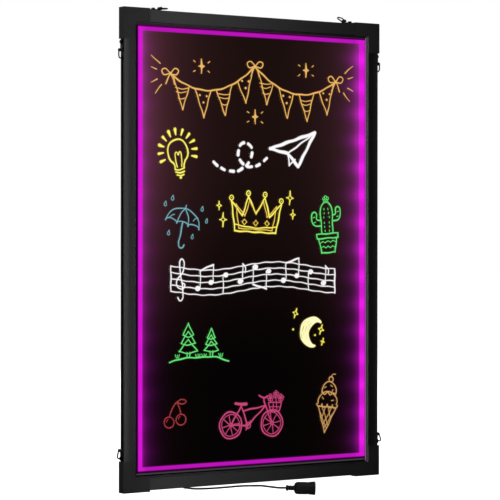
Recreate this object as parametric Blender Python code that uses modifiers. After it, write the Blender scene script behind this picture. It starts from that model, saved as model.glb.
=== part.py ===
"""LED writing board: an edge-lit clear panel in a frame of four aluminium rails and four corner caps.

World frame: +X to the right seen from the front, -Y towards the viewer, +Z up. The origin is on
the ground under the middle of the board, half way through its thickness. Lengths are in metres.
"""
import math

import bmesh
import bpy
from mathutils import Matrix, Vector

MM = 0.001

# Whole board, over the corner caps
BOARD_WIDTH = 406 * MM
BOARD_HEIGHT = 610 * MM

# Space between touching pieces, overrun of a cut past a surface, and the merge distance of turned shapes
PIECE_GAP = 0.3 * MM
CUT_OVERRUN = 1 * MM
MERGE_DISTANCE = 0.001 * MM

# Extruded rail
RAIL_THICKNESS = 8.4 * MM
RAIL_FACE_WIDTH = 16.5 * MM
RAIL_EDGE_CHAMFER = 0.4 * MM
RAIL_WALL = 1.2 * MM
CHANNEL_MOUTH = 3.6 * MM
CHANNEL_LIP = 1.2 * MM
CHANNEL_WIDTH = 6.2 * MM
CHANNEL_DEPTH = 2.2 * MM
GROOVE_DEPTH = 5.5 * MM
GROOVE_LIP = 1.0 * MM

# Corner cap
CAP_LEG_LENGTH = 40 * MM
CAP_OUTER_WALL = 1.5 * MM
CAP_SKIN = 0.8 * MM
CAP_EDGE_RADIUS = 0.5 * MM
CAP_CORNER_RADIUS = 1.2 * MM

# Corner key and the screws that hold cap, rail and key together
KEY_REACH = 34 * MM
KEY_SCREW_END_DISTANCE = 6 * MM
KEY_EDGE_CHAMFER = 0.4 * MM
SCREW_SHANK_RADIUS = 1.1 * MM
SCREW_HEAD_RADIUS = 2.0 * MM
SCREW_DOME_SHARE = 0.35

# Sheets in the glazing groove, front to back
PANEL_BITE = 3.2 * MM
SEAL_THICKNESS = 0.6 * MM
SEAL_REVEAL = 1.5 * MM
PANEL_THICKNESS = 2.4 * MM
PANEL_EDGE_CHAMFER = 0.2 * MM
BAND_THICKNESS = 0.6 * MM
BAND_REVEAL = 11.2 * MM

# LED ribbons
LED_PITCH = 33.3 * MM
LED_RIBBON_WIDTH = 3.5 * MM
LED_RIBBON_THICKNESS = 0.25 * MM
LED_CHIP_LENGTH = 2.8 * MM
LED_CHIP_WIDTH = 2.2 * MM
LED_CHIP_HEIGHT = 1.05 * MM
LED_END_INSET = 6 * MM

# Inner leads
LEAD_RADIUS = 0.45 * MM
LEAD_SPREAD = 0.65 * MM
LEAD_BEND_RADIUS = 1.6 * MM
LEAD_HOLE_RADIUS = 1.5 * MM

# Cord outlet, from the board's middle to the left
OUTLET_OFFSET = 107 * MM
GROMMET_LENGTH = 9 * MM
GROMMET_NOSE_WIDTH = 4.4 * MM
GROMMET_NOSE_HEIGHT = 3.5 * MM
GROMMET_PROUD = 0.4 * MM
GROMMET_EDGE_RADIUS = 0.3 * MM

# Cord and connector
CORD_RADIUS = 1.25 * MM
CORD_STEPS_PER_POINT = 2
CONNECTOR_HEADING = (0.755, -0.656, 0.0)
BOOT_COLLAR_RADIUS = 3.6 * MM
BOOT_COLLAR_LENGTH = 2.8 * MM
BOOT_NECK_RADIUS = 3.2 * MM
BOOT_NECK_LENGTH = 7.2 * MM
BOOT_GROOVE_DEPTH = 0.45 * MM
BOOT_GROOVES = 4
SHELL_RADIUS = 7.8 * MM
SHELL_SHOULDER_LENGTH = 4.6 * MM
SHELL_BODY_LENGTH = 12.2 * MM
SHELL_END_LENGTH = 8.8 * MM
SHELL_END_RADIUS = 8.6 * MM
SHELL_GROOVE_DEPTH = 0.7 * MM
SHELL_GROOVE_LENGTH = 0.8 * MM
SHELL_RIBS = 24
SHELL_RIB_DEPTH = 0.3 * MM
SOCKET_RADIUS = 6.3 * MM
SOCKET_DEPTH = 5.0 * MM
INSERT_RECESS = 1.0 * MM
CONTACT_SPACING = 4.6 * MM
CONTACT_RADIUS = 0.9 * MM
CONTACT_BORE_RADIUS = 0.5 * MM
CONTACT_LENGTH = 2.8 * MM

# Hangers: strap, screw, nut and ring
STRAP_THICKNESS = 1.0 * MM
STRAP_WIDTH = 6.0 * MM
STRAP_END_REACH = 3.2 * MM
STRAP_CORNER_RADIUS = 1.4 * MM
STRAP_CURL_END = math.radians(200)
HINGE_DISTANCE = 10 * MM
HANGER_HOLE_RADIUS = 1.6 * MM
HANGER_SHANK_RADIUS = 1.3 * MM
HANGER_HEAD_RADIUS = 2.6 * MM
HANGER_HEAD_HEIGHT = 1.5 * MM
NUT_LENGTH = 7.6 * MM
NUT_THICKNESS = 1.6 * MM
NUT_EDGE_CHAMFER = 0.3 * MM
RING_WIRE_RADIUS = 0.9 * MM
RING_WIDTH = 8.6 * MM
RING_REACH = 10.5 * MM
RING_CORNER_RADIUS = 1.5 * MM

# How far the hangers are slid from their caps, and how far their rings are lifted off the rail
SLIDE_CLOSE = 0.5 * MM
SLIDE_NARROW = 1.5 * MM
SLIDE_MEDIUM = 3.0 * MM
SLIDE_WIDE = 4.0 * MM
LIFT_FLAT = math.radians(0)
LIFT_SLIGHT = math.radians(2)
LIFT_TIPPED = math.radians(27)
LIFT_LEANING_BACK = math.radians(160)
LIFT_FOLDED_BACK = math.radians(166)

# Round shapes
FINE_STEPS = 24
SMALL_STEPS = 16
SHELL_STEPS = 48
SHOULDER_STEPS = 5
CROWN_STEPS = 3
WIRE_RESOLUTION = 2
ARC_STEP = math.radians(30)
FINE_ARC_STEP = math.radians(22.5)

# Sizes that follow
KEY_SCREW_INSET = KEY_REACH - KEY_SCREW_END_DISTANCE
CAP_PROUD = CAP_OUTER_WALL + PIECE_GAP
CAP_LEG_WIDTH = CAP_PROUD + RAIL_FACE_WIDTH
CAP_THICKNESS = RAIL_THICKNESS + 2 * (PIECE_GAP + CAP_SKIN)
RAIL_OUTER_X = BOARD_WIDTH / 2 - CAP_PROUD
RAIL_OUTER_TOP = BOARD_HEIGHT - CAP_PROUD
INNER_HALF_WIDTH = RAIL_OUTER_X - RAIL_FACE_WIDTH
INNER_BOTTOM = CAP_PROUD + RAIL_FACE_WIDTH
INNER_TOP = RAIL_OUTER_TOP - RAIL_FACE_WIDTH
INNER_HALF_HEIGHT = (INNER_TOP - INNER_BOTTOM) / 2
MIDDLE_HEIGHT = BOARD_HEIGHT / 2
CHAMBER_INNER = GROOVE_DEPTH + RAIL_WALL
CHANNEL_FLOOR = RAIL_FACE_WIDTH - CHANNEL_LIP - CHANNEL_DEPTH
CHAMBER_OUTER = CHANNEL_FLOOR - RAIL_WALL
CHAMBER_MIDDLE = (CHAMBER_INNER + CHAMBER_OUTER) / 2
CHAMBER_HALF_THICKNESS = RAIL_THICKNESS / 2 - RAIL_WALL
GROOVE_HALF_THICKNESS = RAIL_THICKNESS / 2 - GROOVE_LIP
SEAL_FRONT = -GROOVE_HALF_THICKNESS + PIECE_GAP
SEAL_REAR = SEAL_FRONT + SEAL_THICKNESS
PANEL_FRONT = SEAL_REAR + PIECE_GAP
PANEL_REAR = PANEL_FRONT + PANEL_THICKNESS
BAND_FRONT = PANEL_REAR + PIECE_GAP
BAND_REAR = BAND_FRONT + BAND_THICKNESS
BACKING_FRONT = BAND_REAR + PIECE_GAP
BACKING_REAR = GROOVE_HALF_THICKNESS - PIECE_GAP
PANEL_MIDDLE = (PANEL_FRONT + PANEL_REAR) / 2
HINGE_HEIGHT = PIECE_GAP + STRAP_THICKNESS + PIECE_GAP + RING_WIRE_RADIUS

# Turn of each side and corner about Y, from the right rail and from the bottom left corner
SIDE_TURNS = {"right": 0.0, "top": -math.pi / 2, "left": math.pi, "bottom": math.pi / 2}
CORNER_TURNS = {
    "bottom_left": 0.0,
    "top_left": math.pi / 2,
    "top_right": math.pi,
    "bottom_right": -math.pi / 2,
}

# Each hanger: its rail, the end of the rail it is near, how far it is slid from the cap, and its ring's lift
HANGERS = {
    "top_left": ("top", "left", SLIDE_WIDE, LIFT_SLIGHT),
    "top_right": ("top", "right", SLIDE_MEDIUM, LIFT_TIPPED),
    "left_top": ("left", "top", SLIDE_CLOSE, LIFT_FLAT),
    "left_bottom": ("left", "bottom", SLIDE_CLOSE, LIFT_FOLDED_BACK),
    "right_top": ("right", "top", SLIDE_CLOSE, LIFT_FLAT),
    "right_bottom": ("right", "bottom", SLIDE_NARROW, LIFT_LEANING_BACK),
}
DIRECTIONS = {
    "left": Vector((-1, 0, 0)),
    "right": Vector((1, 0, 0)),
    "top": Vector((0, 0, 1)),
    "bottom": Vector((0, 0, -1)),
}

# The cord's route on the ground, chosen by hand, from the outlet to the connector
CORD_ROUTE = [
    (-107.0 * MM, -4.9 * MM, 1.70 * MM),
    (-107.0 * MM, -8.4 * MM, 1.50 * MM),
    (-105.9 * MM, -12.6 * MM, 1.35 * MM),
    (-102.2 * MM, -17.2 * MM, 1.25 * MM),
    (-96.0 * MM, -21.0 * MM, 1.25 * MM),
    (-87.0 * MM, -23.8 * MM, 1.25 * MM),
    (-75.0 * MM, -25.0 * MM, 1.25 * MM),
    (-60.0 * MM, -24.6 * MM, 1.25 * MM),
    (-46.0 * MM, -23.6 * MM, 1.25 * MM),
    (-35.0 * MM, -24.0 * MM, 1.25 * MM),
    (-26.6 * MM, -27.4 * MM, 1.30 * MM),
    (-22.0 * MM, -34.0 * MM, 1.70 * MM),
    (-21.4 * MM, -44.0 * MM, 2.60 * MM),
    (-25.2 * MM, -58.0 * MM, 3.80 * MM),
    (-31.4 * MM, -73.0 * MM, 5.10 * MM),
    (-37.8 * MM, -88.0 * MM, 6.40 * MM),
    (-43.4 * MM, -101.0 * MM, 7.60 * MM),
    (-46.8 * MM, -110.0 * MM, 8.30 * MM),
    (-47.8 * MM, -116.6 * MM, 8.60 * MM),
    (-46.2 * MM, -121.6 * MM, 8.60 * MM),
    (-42.8 * MM, -124.9 * MM, 8.60 * MM),
    (-40.2 * MM, -127.2 * MM, 8.60 * MM),
]


def clear_scene():
    for obj in list(bpy.data.objects):
        bpy.data.objects.remove(obj, do_unlink=True)


def new_collection(name):
    collection = bpy.data.collections.new(name)
    bpy.context.scene.collection.children.link(collection)
    return collection


clear_scene()
BOARD = new_collection("led_writing_board")
CUTTERS = new_collection("cutters")
CUTTERS.hide_render = True


def material(name, colour, roughness, metallic=0.0, emission=None):
    """A plain Principled material."""
    mat = bpy.data.materials.new(name)
    mat.use_nodes = True
    shader = mat.node_tree.nodes["Principled BSDF"]
    shader.inputs["Base Color"].default_value = (*colour, 1.0)
    shader.inputs["Roughness"].default_value = roughness
    shader.inputs["Metallic"].default_value = metallic
    if emission:
        shader.inputs["Emission Color"].default_value = (*emission, 1.0)
        shader.inputs["Emission Strength"].default_value = 1.0
    return mat


MATERIALS = {
    "rail": material("black_anodised_rail", (0.025, 0.026, 0.026), 0.42, metallic=0.6),
    "cap": material("black_moulded_cap", (0.018, 0.018, 0.018), 0.5),
    "steel": material("zinc_plated_steel", (0.5, 0.5, 0.52), 0.35, metallic=1.0),
    "black_steel": material("blackened_steel", (0.03, 0.03, 0.032), 0.4, metallic=0.9),
    "panel": material("clear_acrylic", (0.9, 0.9, 0.92), 0.05),
    "seal": material("black_rubber", (0.012, 0.012, 0.012), 0.7),
    "band": material("frosted_light_band", (0.6, 0.1, 0.6), 0.5, emission=(0.75, 0.01, 0.8)),
    "backing": material("black_backing", (0.008, 0.006, 0.008), 0.6),
    "ribbon": material("led_ribbon", (0.8, 0.8, 0.78), 0.5),
    "lead": material("red_lead", (0.4, 0.02, 0.02), 0.5),
    "cord": material("black_cord", (0.012, 0.012, 0.012), 0.5),
    "connector": material("black_connector", (0.01, 0.01, 0.01), 0.55),
    "contact": material("tinned_contact", (0.7, 0.68, 0.6), 0.3, metallic=1.0),
}


def add_object(name, mesh, collection, material_key=None, matrix=None):
    """Link a mesh as a named object with its material and place."""
    obj = bpy.data.objects.new(name, mesh)
    collection.objects.link(obj)
    if material_key and not mesh.materials:
        mesh.materials.append(MATERIALS[material_key])
    if matrix is not None:
        obj.matrix_world = matrix
    return obj


def evaluated_mesh(obj, name):
    """The object's mesh with its modifiers applied; the object is removed."""
    depsgraph = bpy.context.evaluated_depsgraph_get()
    mesh = bpy.data.meshes.new_from_object(obj.evaluated_get(depsgraph))
    mesh.name = name
    bpy.data.objects.remove(obj, do_unlink=True)
    return mesh


def weld(mesh):
    bm = bmesh.new()
    bm.from_mesh(mesh)
    bmesh.ops.remove_doubles(bm, verts=bm.verts, dist=MERGE_DISTANCE)
    bmesh.ops.recalc_face_normals(bm, faces=bm.faces)
    bm.to_mesh(mesh)
    bm.free()


def extruded_outlines(name, outlines, half_length):
    """A mesh from closed flat outlines, inner ones cutting holes, extruded both ways along Z."""
    curve = bpy.data.curves.new(name, "CURVE")
    curve.dimensions = "2D"
    curve.fill_mode = "BOTH"
    curve.extrude = half_length
    for outline in outlines:
        spline = curve.splines.new("POLY")
        spline.points.add(len(outline) - 1)
        for point, (x, y) in zip(spline.points, outline):
            point.co = (x, y, 0.0, 1.0)
        spline.use_cyclic_u = True
    obj = bpy.data.objects.new(name, curve)
    BOARD.objects.link(obj)
    mesh = evaluated_mesh(obj, name)
    weld(mesh)
    return mesh


def wire_mesh(name, points, radius, closed=False):
    """A round wire along points."""
    curve = bpy.data.curves.new(name, "CURVE")
    curve.dimensions = "3D"
    curve.bevel_depth = radius
    curve.bevel_resolution = WIRE_RESOLUTION
    curve.use_fill_caps = not closed
    spline = curve.splines.new("POLY")
    spline.points.add(len(points) - 1)
    for point, place in zip(spline.points, points):
        point.co = (*place, 1.0)
    spline.use_cyclic_u = closed
    obj = bpy.data.objects.new(name, curve)
    BOARD.objects.link(obj)
    mesh = evaluated_mesh(obj, name)
    weld(mesh)
    mesh.shade_smooth()
    mesh.set_sharp_from_angle(angle=ARC_STEP * 2)
    return mesh


def turned_mesh(name, profile, steps):
    """A solid of revolution about Z from a profile of (radius, height), top to bottom."""
    mesh = bpy.data.meshes.new(name)
    vertices = [(radius, 0.0, height) for radius, height in profile]
    edges = [(i, i + 1) for i in range(len(profile) - 1)]
    mesh.from_pydata(vertices, edges, [])
    obj = bpy.data.objects.new(name, mesh)
    BOARD.objects.link(obj)
    screw = obj.modifiers.new("turn", "SCREW")
    screw.steps = steps
    screw.render_steps = steps
    screw.use_merge_vertices = True
    screw.merge_threshold = MERGE_DISTANCE
    turned = evaluated_mesh(obj, name)
    weld(turned)
    turned.shade_smooth()
    turned.set_sharp_from_angle(angle=ARC_STEP)
    return turned


def box_mesh(name, low, high, chamfer=0.0, segments=1):
    """A box between two corners, with its edges chamfered or rounded."""
    low, high = Vector(low), Vector(high)
    size = high - low
    bm = bmesh.new()
    bmesh.ops.create_cube(bm, size=1.0)
    bmesh.ops.scale(bm, vec=size, verts=bm.verts)
    bmesh.ops.translate(bm, vec=(low + high) / 2, verts=bm.verts)
    if chamfer:
        bmesh.ops.bevel(
            bm,
            geom=bm.edges,
            offset=chamfer,
            segments=segments,
            affect="EDGES",
            profile=0.5,
            clamp_overlap=True,
        )
    mesh = bpy.data.meshes.new(name)
    bm.to_mesh(mesh)
    bm.free()
    return mesh


def cylinders_mesh(name, centres, radius, length, turn):
    """Separate cylinders at the centres, their axis along the turned Z."""
    bm = bmesh.new()
    for centre in centres:
        bmesh.ops.create_cone(
            bm,
            cap_ends=True,
            segments=SMALL_STEPS,
            radius1=radius,
            radius2=radius,
            depth=length,
            matrix=Matrix.Translation(centre) @ turn,
        )
    mesh = bpy.data.meshes.new(name)
    bm.to_mesh(mesh)
    bm.free()
    return mesh


def cutter(name, mesh, matrix=None):
    obj = add_object(name, mesh, CUTTERS, matrix=matrix)
    obj.hide_render = True
    obj.display_type = "WIRE"
    return obj


def boolean(obj, other, operation="DIFFERENCE"):
    modifier = obj.modifiers.new(f"{operation.lower()}_{other.name}", "BOOLEAN")
    modifier.operation = operation
    modifier.object = other
    modifier.solver = "EXACT"


def arc(centre, radius, start, end, step=ARC_STEP):
    """Points on an arc about centre, both ends included."""
    count = max(1, math.ceil(abs(end - start) / step))
    angles = [start + (end - start) * i / count for i in range(count + 1)]
    return [(centre[0] + radius * math.cos(a), centre[1] + radius * math.sin(a)) for a in angles]


def quarter_turn(steps):
    return [math.pi / 2 * i / steps for i in range(steps + 1)]


def side_matrix(side):
    """Local X outward from the rail's inner edge, Y to the rear, Z along the rail."""
    half_opening = INNER_HALF_WIDTH if side in ("left", "right") else INNER_HALF_HEIGHT
    turn = Matrix.Rotation(SIDE_TURNS[side], 4, "Y")
    middle = Matrix.Translation((0, 0, MIDDLE_HEIGHT))
    return middle @ turn @ Matrix.Translation((half_opening, 0, 0))


def inner_half_length(side):
    return INNER_HALF_HEIGHT if side in ("left", "right") else INNER_HALF_WIDTH


def corner_matrix(corner):
    """Origin at the board's corner, X and Y along its two legs, Z to the front."""
    across = -1 if "left" in corner else 1
    height = BOARD_HEIGHT if "top" in corner else 0.0
    place = Matrix.Translation((across * BOARD_WIDTH / 2, 0, height))
    return place @ Matrix.Rotation(CORNER_TURNS[corner], 4, "Y") @ Matrix.Rotation(math.pi / 2, 4, "X")


def mitred_mesh(name, outlines, side):
    """A section extruded along a side, its ends mitred to meet the neighbouring sides."""
    half = inner_half_length(side)
    mesh = extruded_outlines(name, outlines, half)
    for vertex in mesh.vertices:
        reach = half + vertex.co.x - PIECE_GAP / 2
        vertex.co.z = math.copysign(reach, vertex.co.z)
    return mesh


def rail_outlines():
    """The rail's section: x from the inner edge outward, y through the thickness."""
    half = RAIL_THICKNESS / 2
    chamfer = RAIL_EDGE_CHAMFER
    mouth = CHANNEL_MOUTH / 2
    channel = CHANNEL_WIDTH / 2
    lip_x = RAIL_FACE_WIDTH - CHANNEL_LIP
    groove = GROOVE_HALF_THICKNESS
    rear_half = [
        (GROOVE_DEPTH, groove),
        (0.0, groove),
        (0.0, half - chamfer),
        (chamfer, half),
        (RAIL_FACE_WIDTH - chamfer, half),
        (RAIL_FACE_WIDTH, half - chamfer),
        (RAIL_FACE_WIDTH, mouth),
        (lip_x, mouth),
        (lip_x, channel),
        (CHANNEL_FLOOR, channel),
    ]
    front_half = [(x, -y) for x, y in reversed(rear_half)]
    chamber = CHAMBER_HALF_THICKNESS
    hollow = [
        (CHAMBER_INNER, -chamber),
        (CHAMBER_OUTER, -chamber),
        (CHAMBER_OUTER, chamber),
        (CHAMBER_INNER, chamber),
    ]
    return [rear_half + front_half, hollow]


def screw_places(corner):
    """The two screws of a corner: one along each leg, in the middle of the rail's chamber."""
    across = CAP_PROUD + RAIL_FACE_WIDTH - CHAMBER_MIDDLE
    frame = corner_matrix(corner)
    return [frame @ Vector((x, y, 0.0)) for x, y in ((KEY_SCREW_INSET, across), (across, KEY_SCREW_INSET))]


ALONG_Y = Matrix.Rotation(math.pi / 2, 4, "X")


def screw_hole_cutter(name, radius):
    """Holes from the rear, as deep as the middle of the board."""
    depth = CAP_THICKNESS / 2 + CUT_OVERRUN
    places = [place for corner in CORNER_TURNS for place in screw_places(corner)]
    centres = [place + Vector((0, depth / 2, 0)) for place in places]
    return cutter(name, cylinders_mesh(name, centres, radius, depth, ALONG_Y))


def make_rails():
    holes = screw_hole_cutter("rail_screw_holes", SCREW_SHANK_RADIUS + PIECE_GAP)
    rails = {}
    for side in SIDE_TURNS:
        name = f"rail_{side}"
        mesh = mitred_mesh(name, rail_outlines(), side)
        rails[side] = add_object(name, mesh, BOARD, "rail", side_matrix(side))
        boolean(rails[side], holes)
    cut_cord_outlet(rails["bottom"])
    return holes


def cut_cord_outlet(rail):
    """A notch in the channel's front lip for the cord, and a hole up into the glazing groove."""
    clearance = GROMMET_NOSE_WIDTH / 2 + PIECE_GAP
    low = (-OUTLET_OFFSET - clearance, -RAIL_THICKNESS / 2 - CUT_OVERRUN, CAP_PROUD - CUT_OVERRUN)
    high = (-OUTLET_OFFSET + clearance, 0.0, GROMMET_NOSE_HEIGHT + PIECE_GAP)
    boolean(rail, cutter("cord_notch", box_mesh("cord_notch", low, high)))
    bottom = CAP_PROUD + CHANNEL_LIP + CHANNEL_DEPTH / 2
    top = INNER_BOTTOM - GROOVE_DEPTH / 2
    centre = Vector((-OUTLET_OFFSET, 0, (bottom + top) / 2))
    hole = cylinders_mesh("lead_hole", [centre], LEAD_HOLE_RADIUS, top - bottom, Matrix.Identity(4))
    boolean(rail, cutter("lead_hole", hole))


def l_outline(start, end, width, corner_radius=0.0):
    """An L with its outer corner at (start, start), legs along X and Y."""
    corner = [(start, start)]
    if corner_radius:
        middle = start + corner_radius
        corner = arc((middle, middle), corner_radius, math.pi, 1.5 * math.pi, FINE_ARC_STEP)
    inner = start + width
    return corner + [(end, start), (end, inner), (inner, inner), (inner, end), (start, end)]


def make_corner_caps():
    """Moulded shells that wrap the rails' front, outer and rear faces at each corner."""
    outline = l_outline(0.0, CAP_LEG_LENGTH, CAP_LEG_WIDTH, CAP_CORNER_RADIUS)
    mesh = extruded_outlines("corner_cap", [outline], CAP_THICKNESS / 2)
    far = CAP_LEG_LENGTH + CUT_OVERRUN
    pocket_half = RAIL_THICKNESS / 2 + PIECE_GAP
    pocket = box_mesh("cap_pocket", (CAP_OUTER_WALL, CAP_OUTER_WALL, -pocket_half), (far, far, pocket_half))
    holes = screw_hole_cutter("cap_screw_holes", SCREW_HEAD_RADIUS + PIECE_GAP)
    for corner in CORNER_TURNS:
        frame = corner_matrix(corner)
        cap = add_object(f"corner_cap_{corner}", mesh, BOARD, "cap", frame)
        bevel = cap.modifiers.new("soft_edges", "BEVEL")
        bevel.width = CAP_EDGE_RADIUS
        bevel.segments = 2
        bevel.limit_method = "ANGLE"
        bevel.angle_limit = ARC_STEP * 2
        boolean(cap, cutter(f"cap_pocket_{corner}", pocket, frame))
        boolean(cap, holes)


def make_corner_keys(holes):
    """L keys in the rails' chambers, with the screws' holes."""
    start = CAP_PROUD + RAIL_FACE_WIDTH - CHAMBER_OUTER + PIECE_GAP
    width = CHAMBER_OUTER - CHAMBER_INNER - 2 * PIECE_GAP
    outline = l_outline(start, KEY_REACH, width)
    mesh = extruded_outlines("corner_key", [outline], CHAMBER_HALF_THICKNESS - PIECE_GAP)
    for corner in CORNER_TURNS:
        key = add_object(f"corner_key_{corner}", mesh, BOARD, "steel", corner_matrix(corner))
        bevel = key.modifiers.new("chamfer", "BEVEL")
        bevel.width = KEY_EDGE_CHAMFER
        bevel.segments = 1
        bevel.limit_method = "ANGLE"
        bevel.angle_limit = ARC_STEP * 2
        boolean(key, holes)


def make_cap_screws():
    """Eight screws, their heads sunk in the caps' rear skin."""
    head_low = RAIL_THICKNESS / 2 + PIECE_GAP
    head_high = CAP_THICKNESS / 2
    dome = (head_high - head_low) * SCREW_DOME_SHARE
    shank_end = PIECE_GAP
    profile = [
        (0.0, head_high),
        (SCREW_HEAD_RADIUS - dome, head_high),
        (SCREW_HEAD_RADIUS, head_high - dome),
        (SCREW_HEAD_RADIUS, head_low),
        (SCREW_SHANK_RADIUS, head_low),
        (SCREW_SHANK_RADIUS, shank_end),
        (0.0, shank_end),
    ]
    mesh = turned_mesh("cap_screw", profile, SMALL_STEPS)
    outward = Matrix.Rotation(-math.pi / 2, 4, "X")
    for corner in CORNER_TURNS:
        for number, place in enumerate(screw_places(corner), start=1):
            frame = Matrix.Translation(place) @ outward
            add_object(f"cap_screw_{corner}_{number}", mesh, BOARD, "black_steel", frame)


def sheet(name, front, rear, material_key):
    """A flat sheet held in the glazing groove on all sides."""
    low = (-INNER_HALF_WIDTH - PANEL_BITE, front, INNER_BOTTOM - PANEL_BITE)
    high = (INNER_HALF_WIDTH + PANEL_BITE, rear, INNER_TOP + PANEL_BITE)
    add_object(name, box_mesh(name, low, high, PANEL_EDGE_CHAMFER), BOARD, material_key)


def rectangle(half_width, half_height):
    return [(x * half_width, y * half_height) for x, y in ((-1, -1), (1, -1), (1, 1), (-1, 1))]


def glazing_frame(name, reveal, front, rear, material_key):
    """A flat frame in the groove that shows past the rails' inner edges by its reveal."""
    outer = rectangle(INNER_HALF_WIDTH + PANEL_BITE, INNER_HALF_HEIGHT + PANEL_BITE)
    inner = rectangle(INNER_HALF_WIDTH - reveal, INNER_HALF_HEIGHT - reveal)
    mesh = extruded_outlines(name, [outer, inner], (rear - front) / 2)
    place = Matrix.Translation((0, (front + rear) / 2, MIDDLE_HEIGHT))
    add_object(name, mesh, BOARD, material_key, place @ Matrix.Rotation(math.pi / 2, 4, "X"))


def make_glazing():
    """Seal, panel, light band and backing, from the front to the rear."""
    glazing_frame("glazing_seal", SEAL_REVEAL, SEAL_FRONT, SEAL_REAR, "seal")
    sheet("writing_panel", PANEL_FRONT, PANEL_REAR, "panel")
    glazing_frame("light_band", BAND_REVEAL, BAND_FRONT, BAND_REAR, "band")
    sheet("backing_panel", BACKING_FRONT, BACKING_REAR, "backing")


def ribbon_half_length():
    return INNER_HALF_HEIGHT - LED_END_INSET


def make_led_ribbons():
    """A ribbon of chips at the bottom of the groove on each long side, facing the panel's edge."""
    half = ribbon_half_length()
    outer = GROOVE_DEPTH - PIECE_GAP
    inner = outer - LED_RIBBON_THICKNESS
    width = LED_RIBBON_WIDTH / 2
    ribbon = box_mesh("led_strip", (inner, PANEL_MIDDLE - width, -half), (outer, PANEL_MIDDLE + width, half))
    count = 2 * int(half / LED_PITCH) + 1
    chip_depth = LED_CHIP_HEIGHT + LED_RIBBON_THICKNESS / 2
    size = Matrix.Diagonal((chip_depth, LED_CHIP_WIDTH, LED_CHIP_LENGTH, 1.0))
    chip_middle = inner - LED_CHIP_HEIGHT + chip_depth / 2
    bm = bmesh.new()
    for index in range(count):
        along = (index - (count - 1) / 2) * LED_PITCH
        place = Matrix.Translation((chip_middle, PANEL_MIDDLE, along))
        bmesh.ops.create_cube(bm, size=1.0, matrix=place @ size)
    chips = bpy.data.meshes.new("led_chips")
    bm.to_mesh(chips)
    bm.free()
    for side in ("left", "right"):
        strip = add_object(f"led_strip_{side}", ribbon, BOARD, "ribbon", side_matrix(side))
        boolean(strip, cutter(f"led_chips_{side}", chips, side_matrix(side)), "UNION")


def make_feed_leads():
    """Two thin leads, up from the cord outlet and along the bottom groove to both ribbons."""
    start_z = CAP_PROUD + CHANNEL_LIP + CHANNEL_DEPTH
    run_depth = GROOVE_DEPTH - PIECE_GAP - LEAD_RADIUS
    run_z = INNER_BOTTOM - run_depth
    end_x = INNER_HALF_WIDTH + run_depth
    end_z = MIDDLE_HEIGHT - ribbon_half_length() - PIECE_GAP
    bend = LEAD_BEND_RADIUS
    for side, sign in (("left", -1), ("right", 1)):
        rise_x = -OUTLET_OFFSET + sign * LEAD_SPREAD
        first = arc((rise_x + sign * bend, run_z - bend), bend, math.pi / 2 * (1 + sign), math.pi / 2)
        last = arc((sign * end_x - sign * bend, run_z + bend), bend, -math.pi / 2, math.pi / 2 * (sign - 1))
        flat = [(rise_x, start_z)] + first + last + [(sign * end_x, end_z)]
        points = [(x, 0.0, z) for x, z in flat]
        name = f"feed_lead_{side}"
        add_object(name, wire_mesh(name, points, LEAD_RADIUS), BOARD, "lead")


def make_cord_grommet():
    """A rubber block in the bottom channel, with a nose through the notch that the cord leaves."""
    block_half = GROMMET_LENGTH / 2
    channel_low = CAP_PROUD + CHANNEL_LIP + PIECE_GAP
    channel_high = CAP_PROUD + CHANNEL_LIP + CHANNEL_DEPTH - PIECE_GAP
    channel_half = CHANNEL_WIDTH / 2 - PIECE_GAP
    block = box_mesh(
        "cord_grommet",
        (-OUTLET_OFFSET - block_half, -channel_half, channel_low),
        (-OUTLET_OFFSET + block_half, channel_half, channel_high),
        GROMMET_EDGE_RADIUS,
    )
    nose_half = GROMMET_NOSE_WIDTH / 2
    nose = box_mesh(
        "grommet_nose",
        (-OUTLET_OFFSET - nose_half, -RAIL_THICKNESS / 2 - GROMMET_PROUD, PIECE_GAP),
        (-OUTLET_OFFSET + nose_half, CHANNEL_MOUTH / 2 - PIECE_GAP, GROMMET_NOSE_HEIGHT),
        GROMMET_EDGE_RADIUS,
        2,
    )
    grommet = add_object("cord_grommet", block, BOARD, "seal")
    boolean(grommet, cutter("grommet_nose", nose), "UNION")


def smooth_route(points, steps):
    """Points on a Catmull-Rom curve through the route's points."""
    route = [Vector(point) for point in points]
    ends = [2 * route[0] - route[1]] + route + [2 * route[-1] - route[-2]]
    result = []
    for i in range(1, len(ends) - 2):
        p0, p1, p2, p3 = ends[i - 1 : i + 3]
        for step in range(steps):
            t = step / steps
            linear = (p2 - p0) * t
            square = (2 * p0 - 5 * p1 + 4 * p2 - p3) * t**2
            cube = (3 * p1 - p0 - 3 * p2 + p3) * t**3
            result.append((2 * p1 + linear + square + cube) / 2)
    return result + [route[-1]]


def make_cord():
    points = smooth_route(CORD_ROUTE, CORD_STEPS_PER_POINT)
    add_object("pigtail_cord", wire_mesh("pigtail_cord", points, CORD_RADIUS), BOARD, "cord")


def connector_matrix(distance):
    """Z along the connector's axis, at a distance from the cord's end."""
    heading = Vector(CONNECTOR_HEADING).normalized()
    place = Vector(CORD_ROUTE[-1]) + heading * distance
    return Matrix.Translation(place) @ heading.to_track_quat("Z", "Y").to_matrix().to_4x4()


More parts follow.
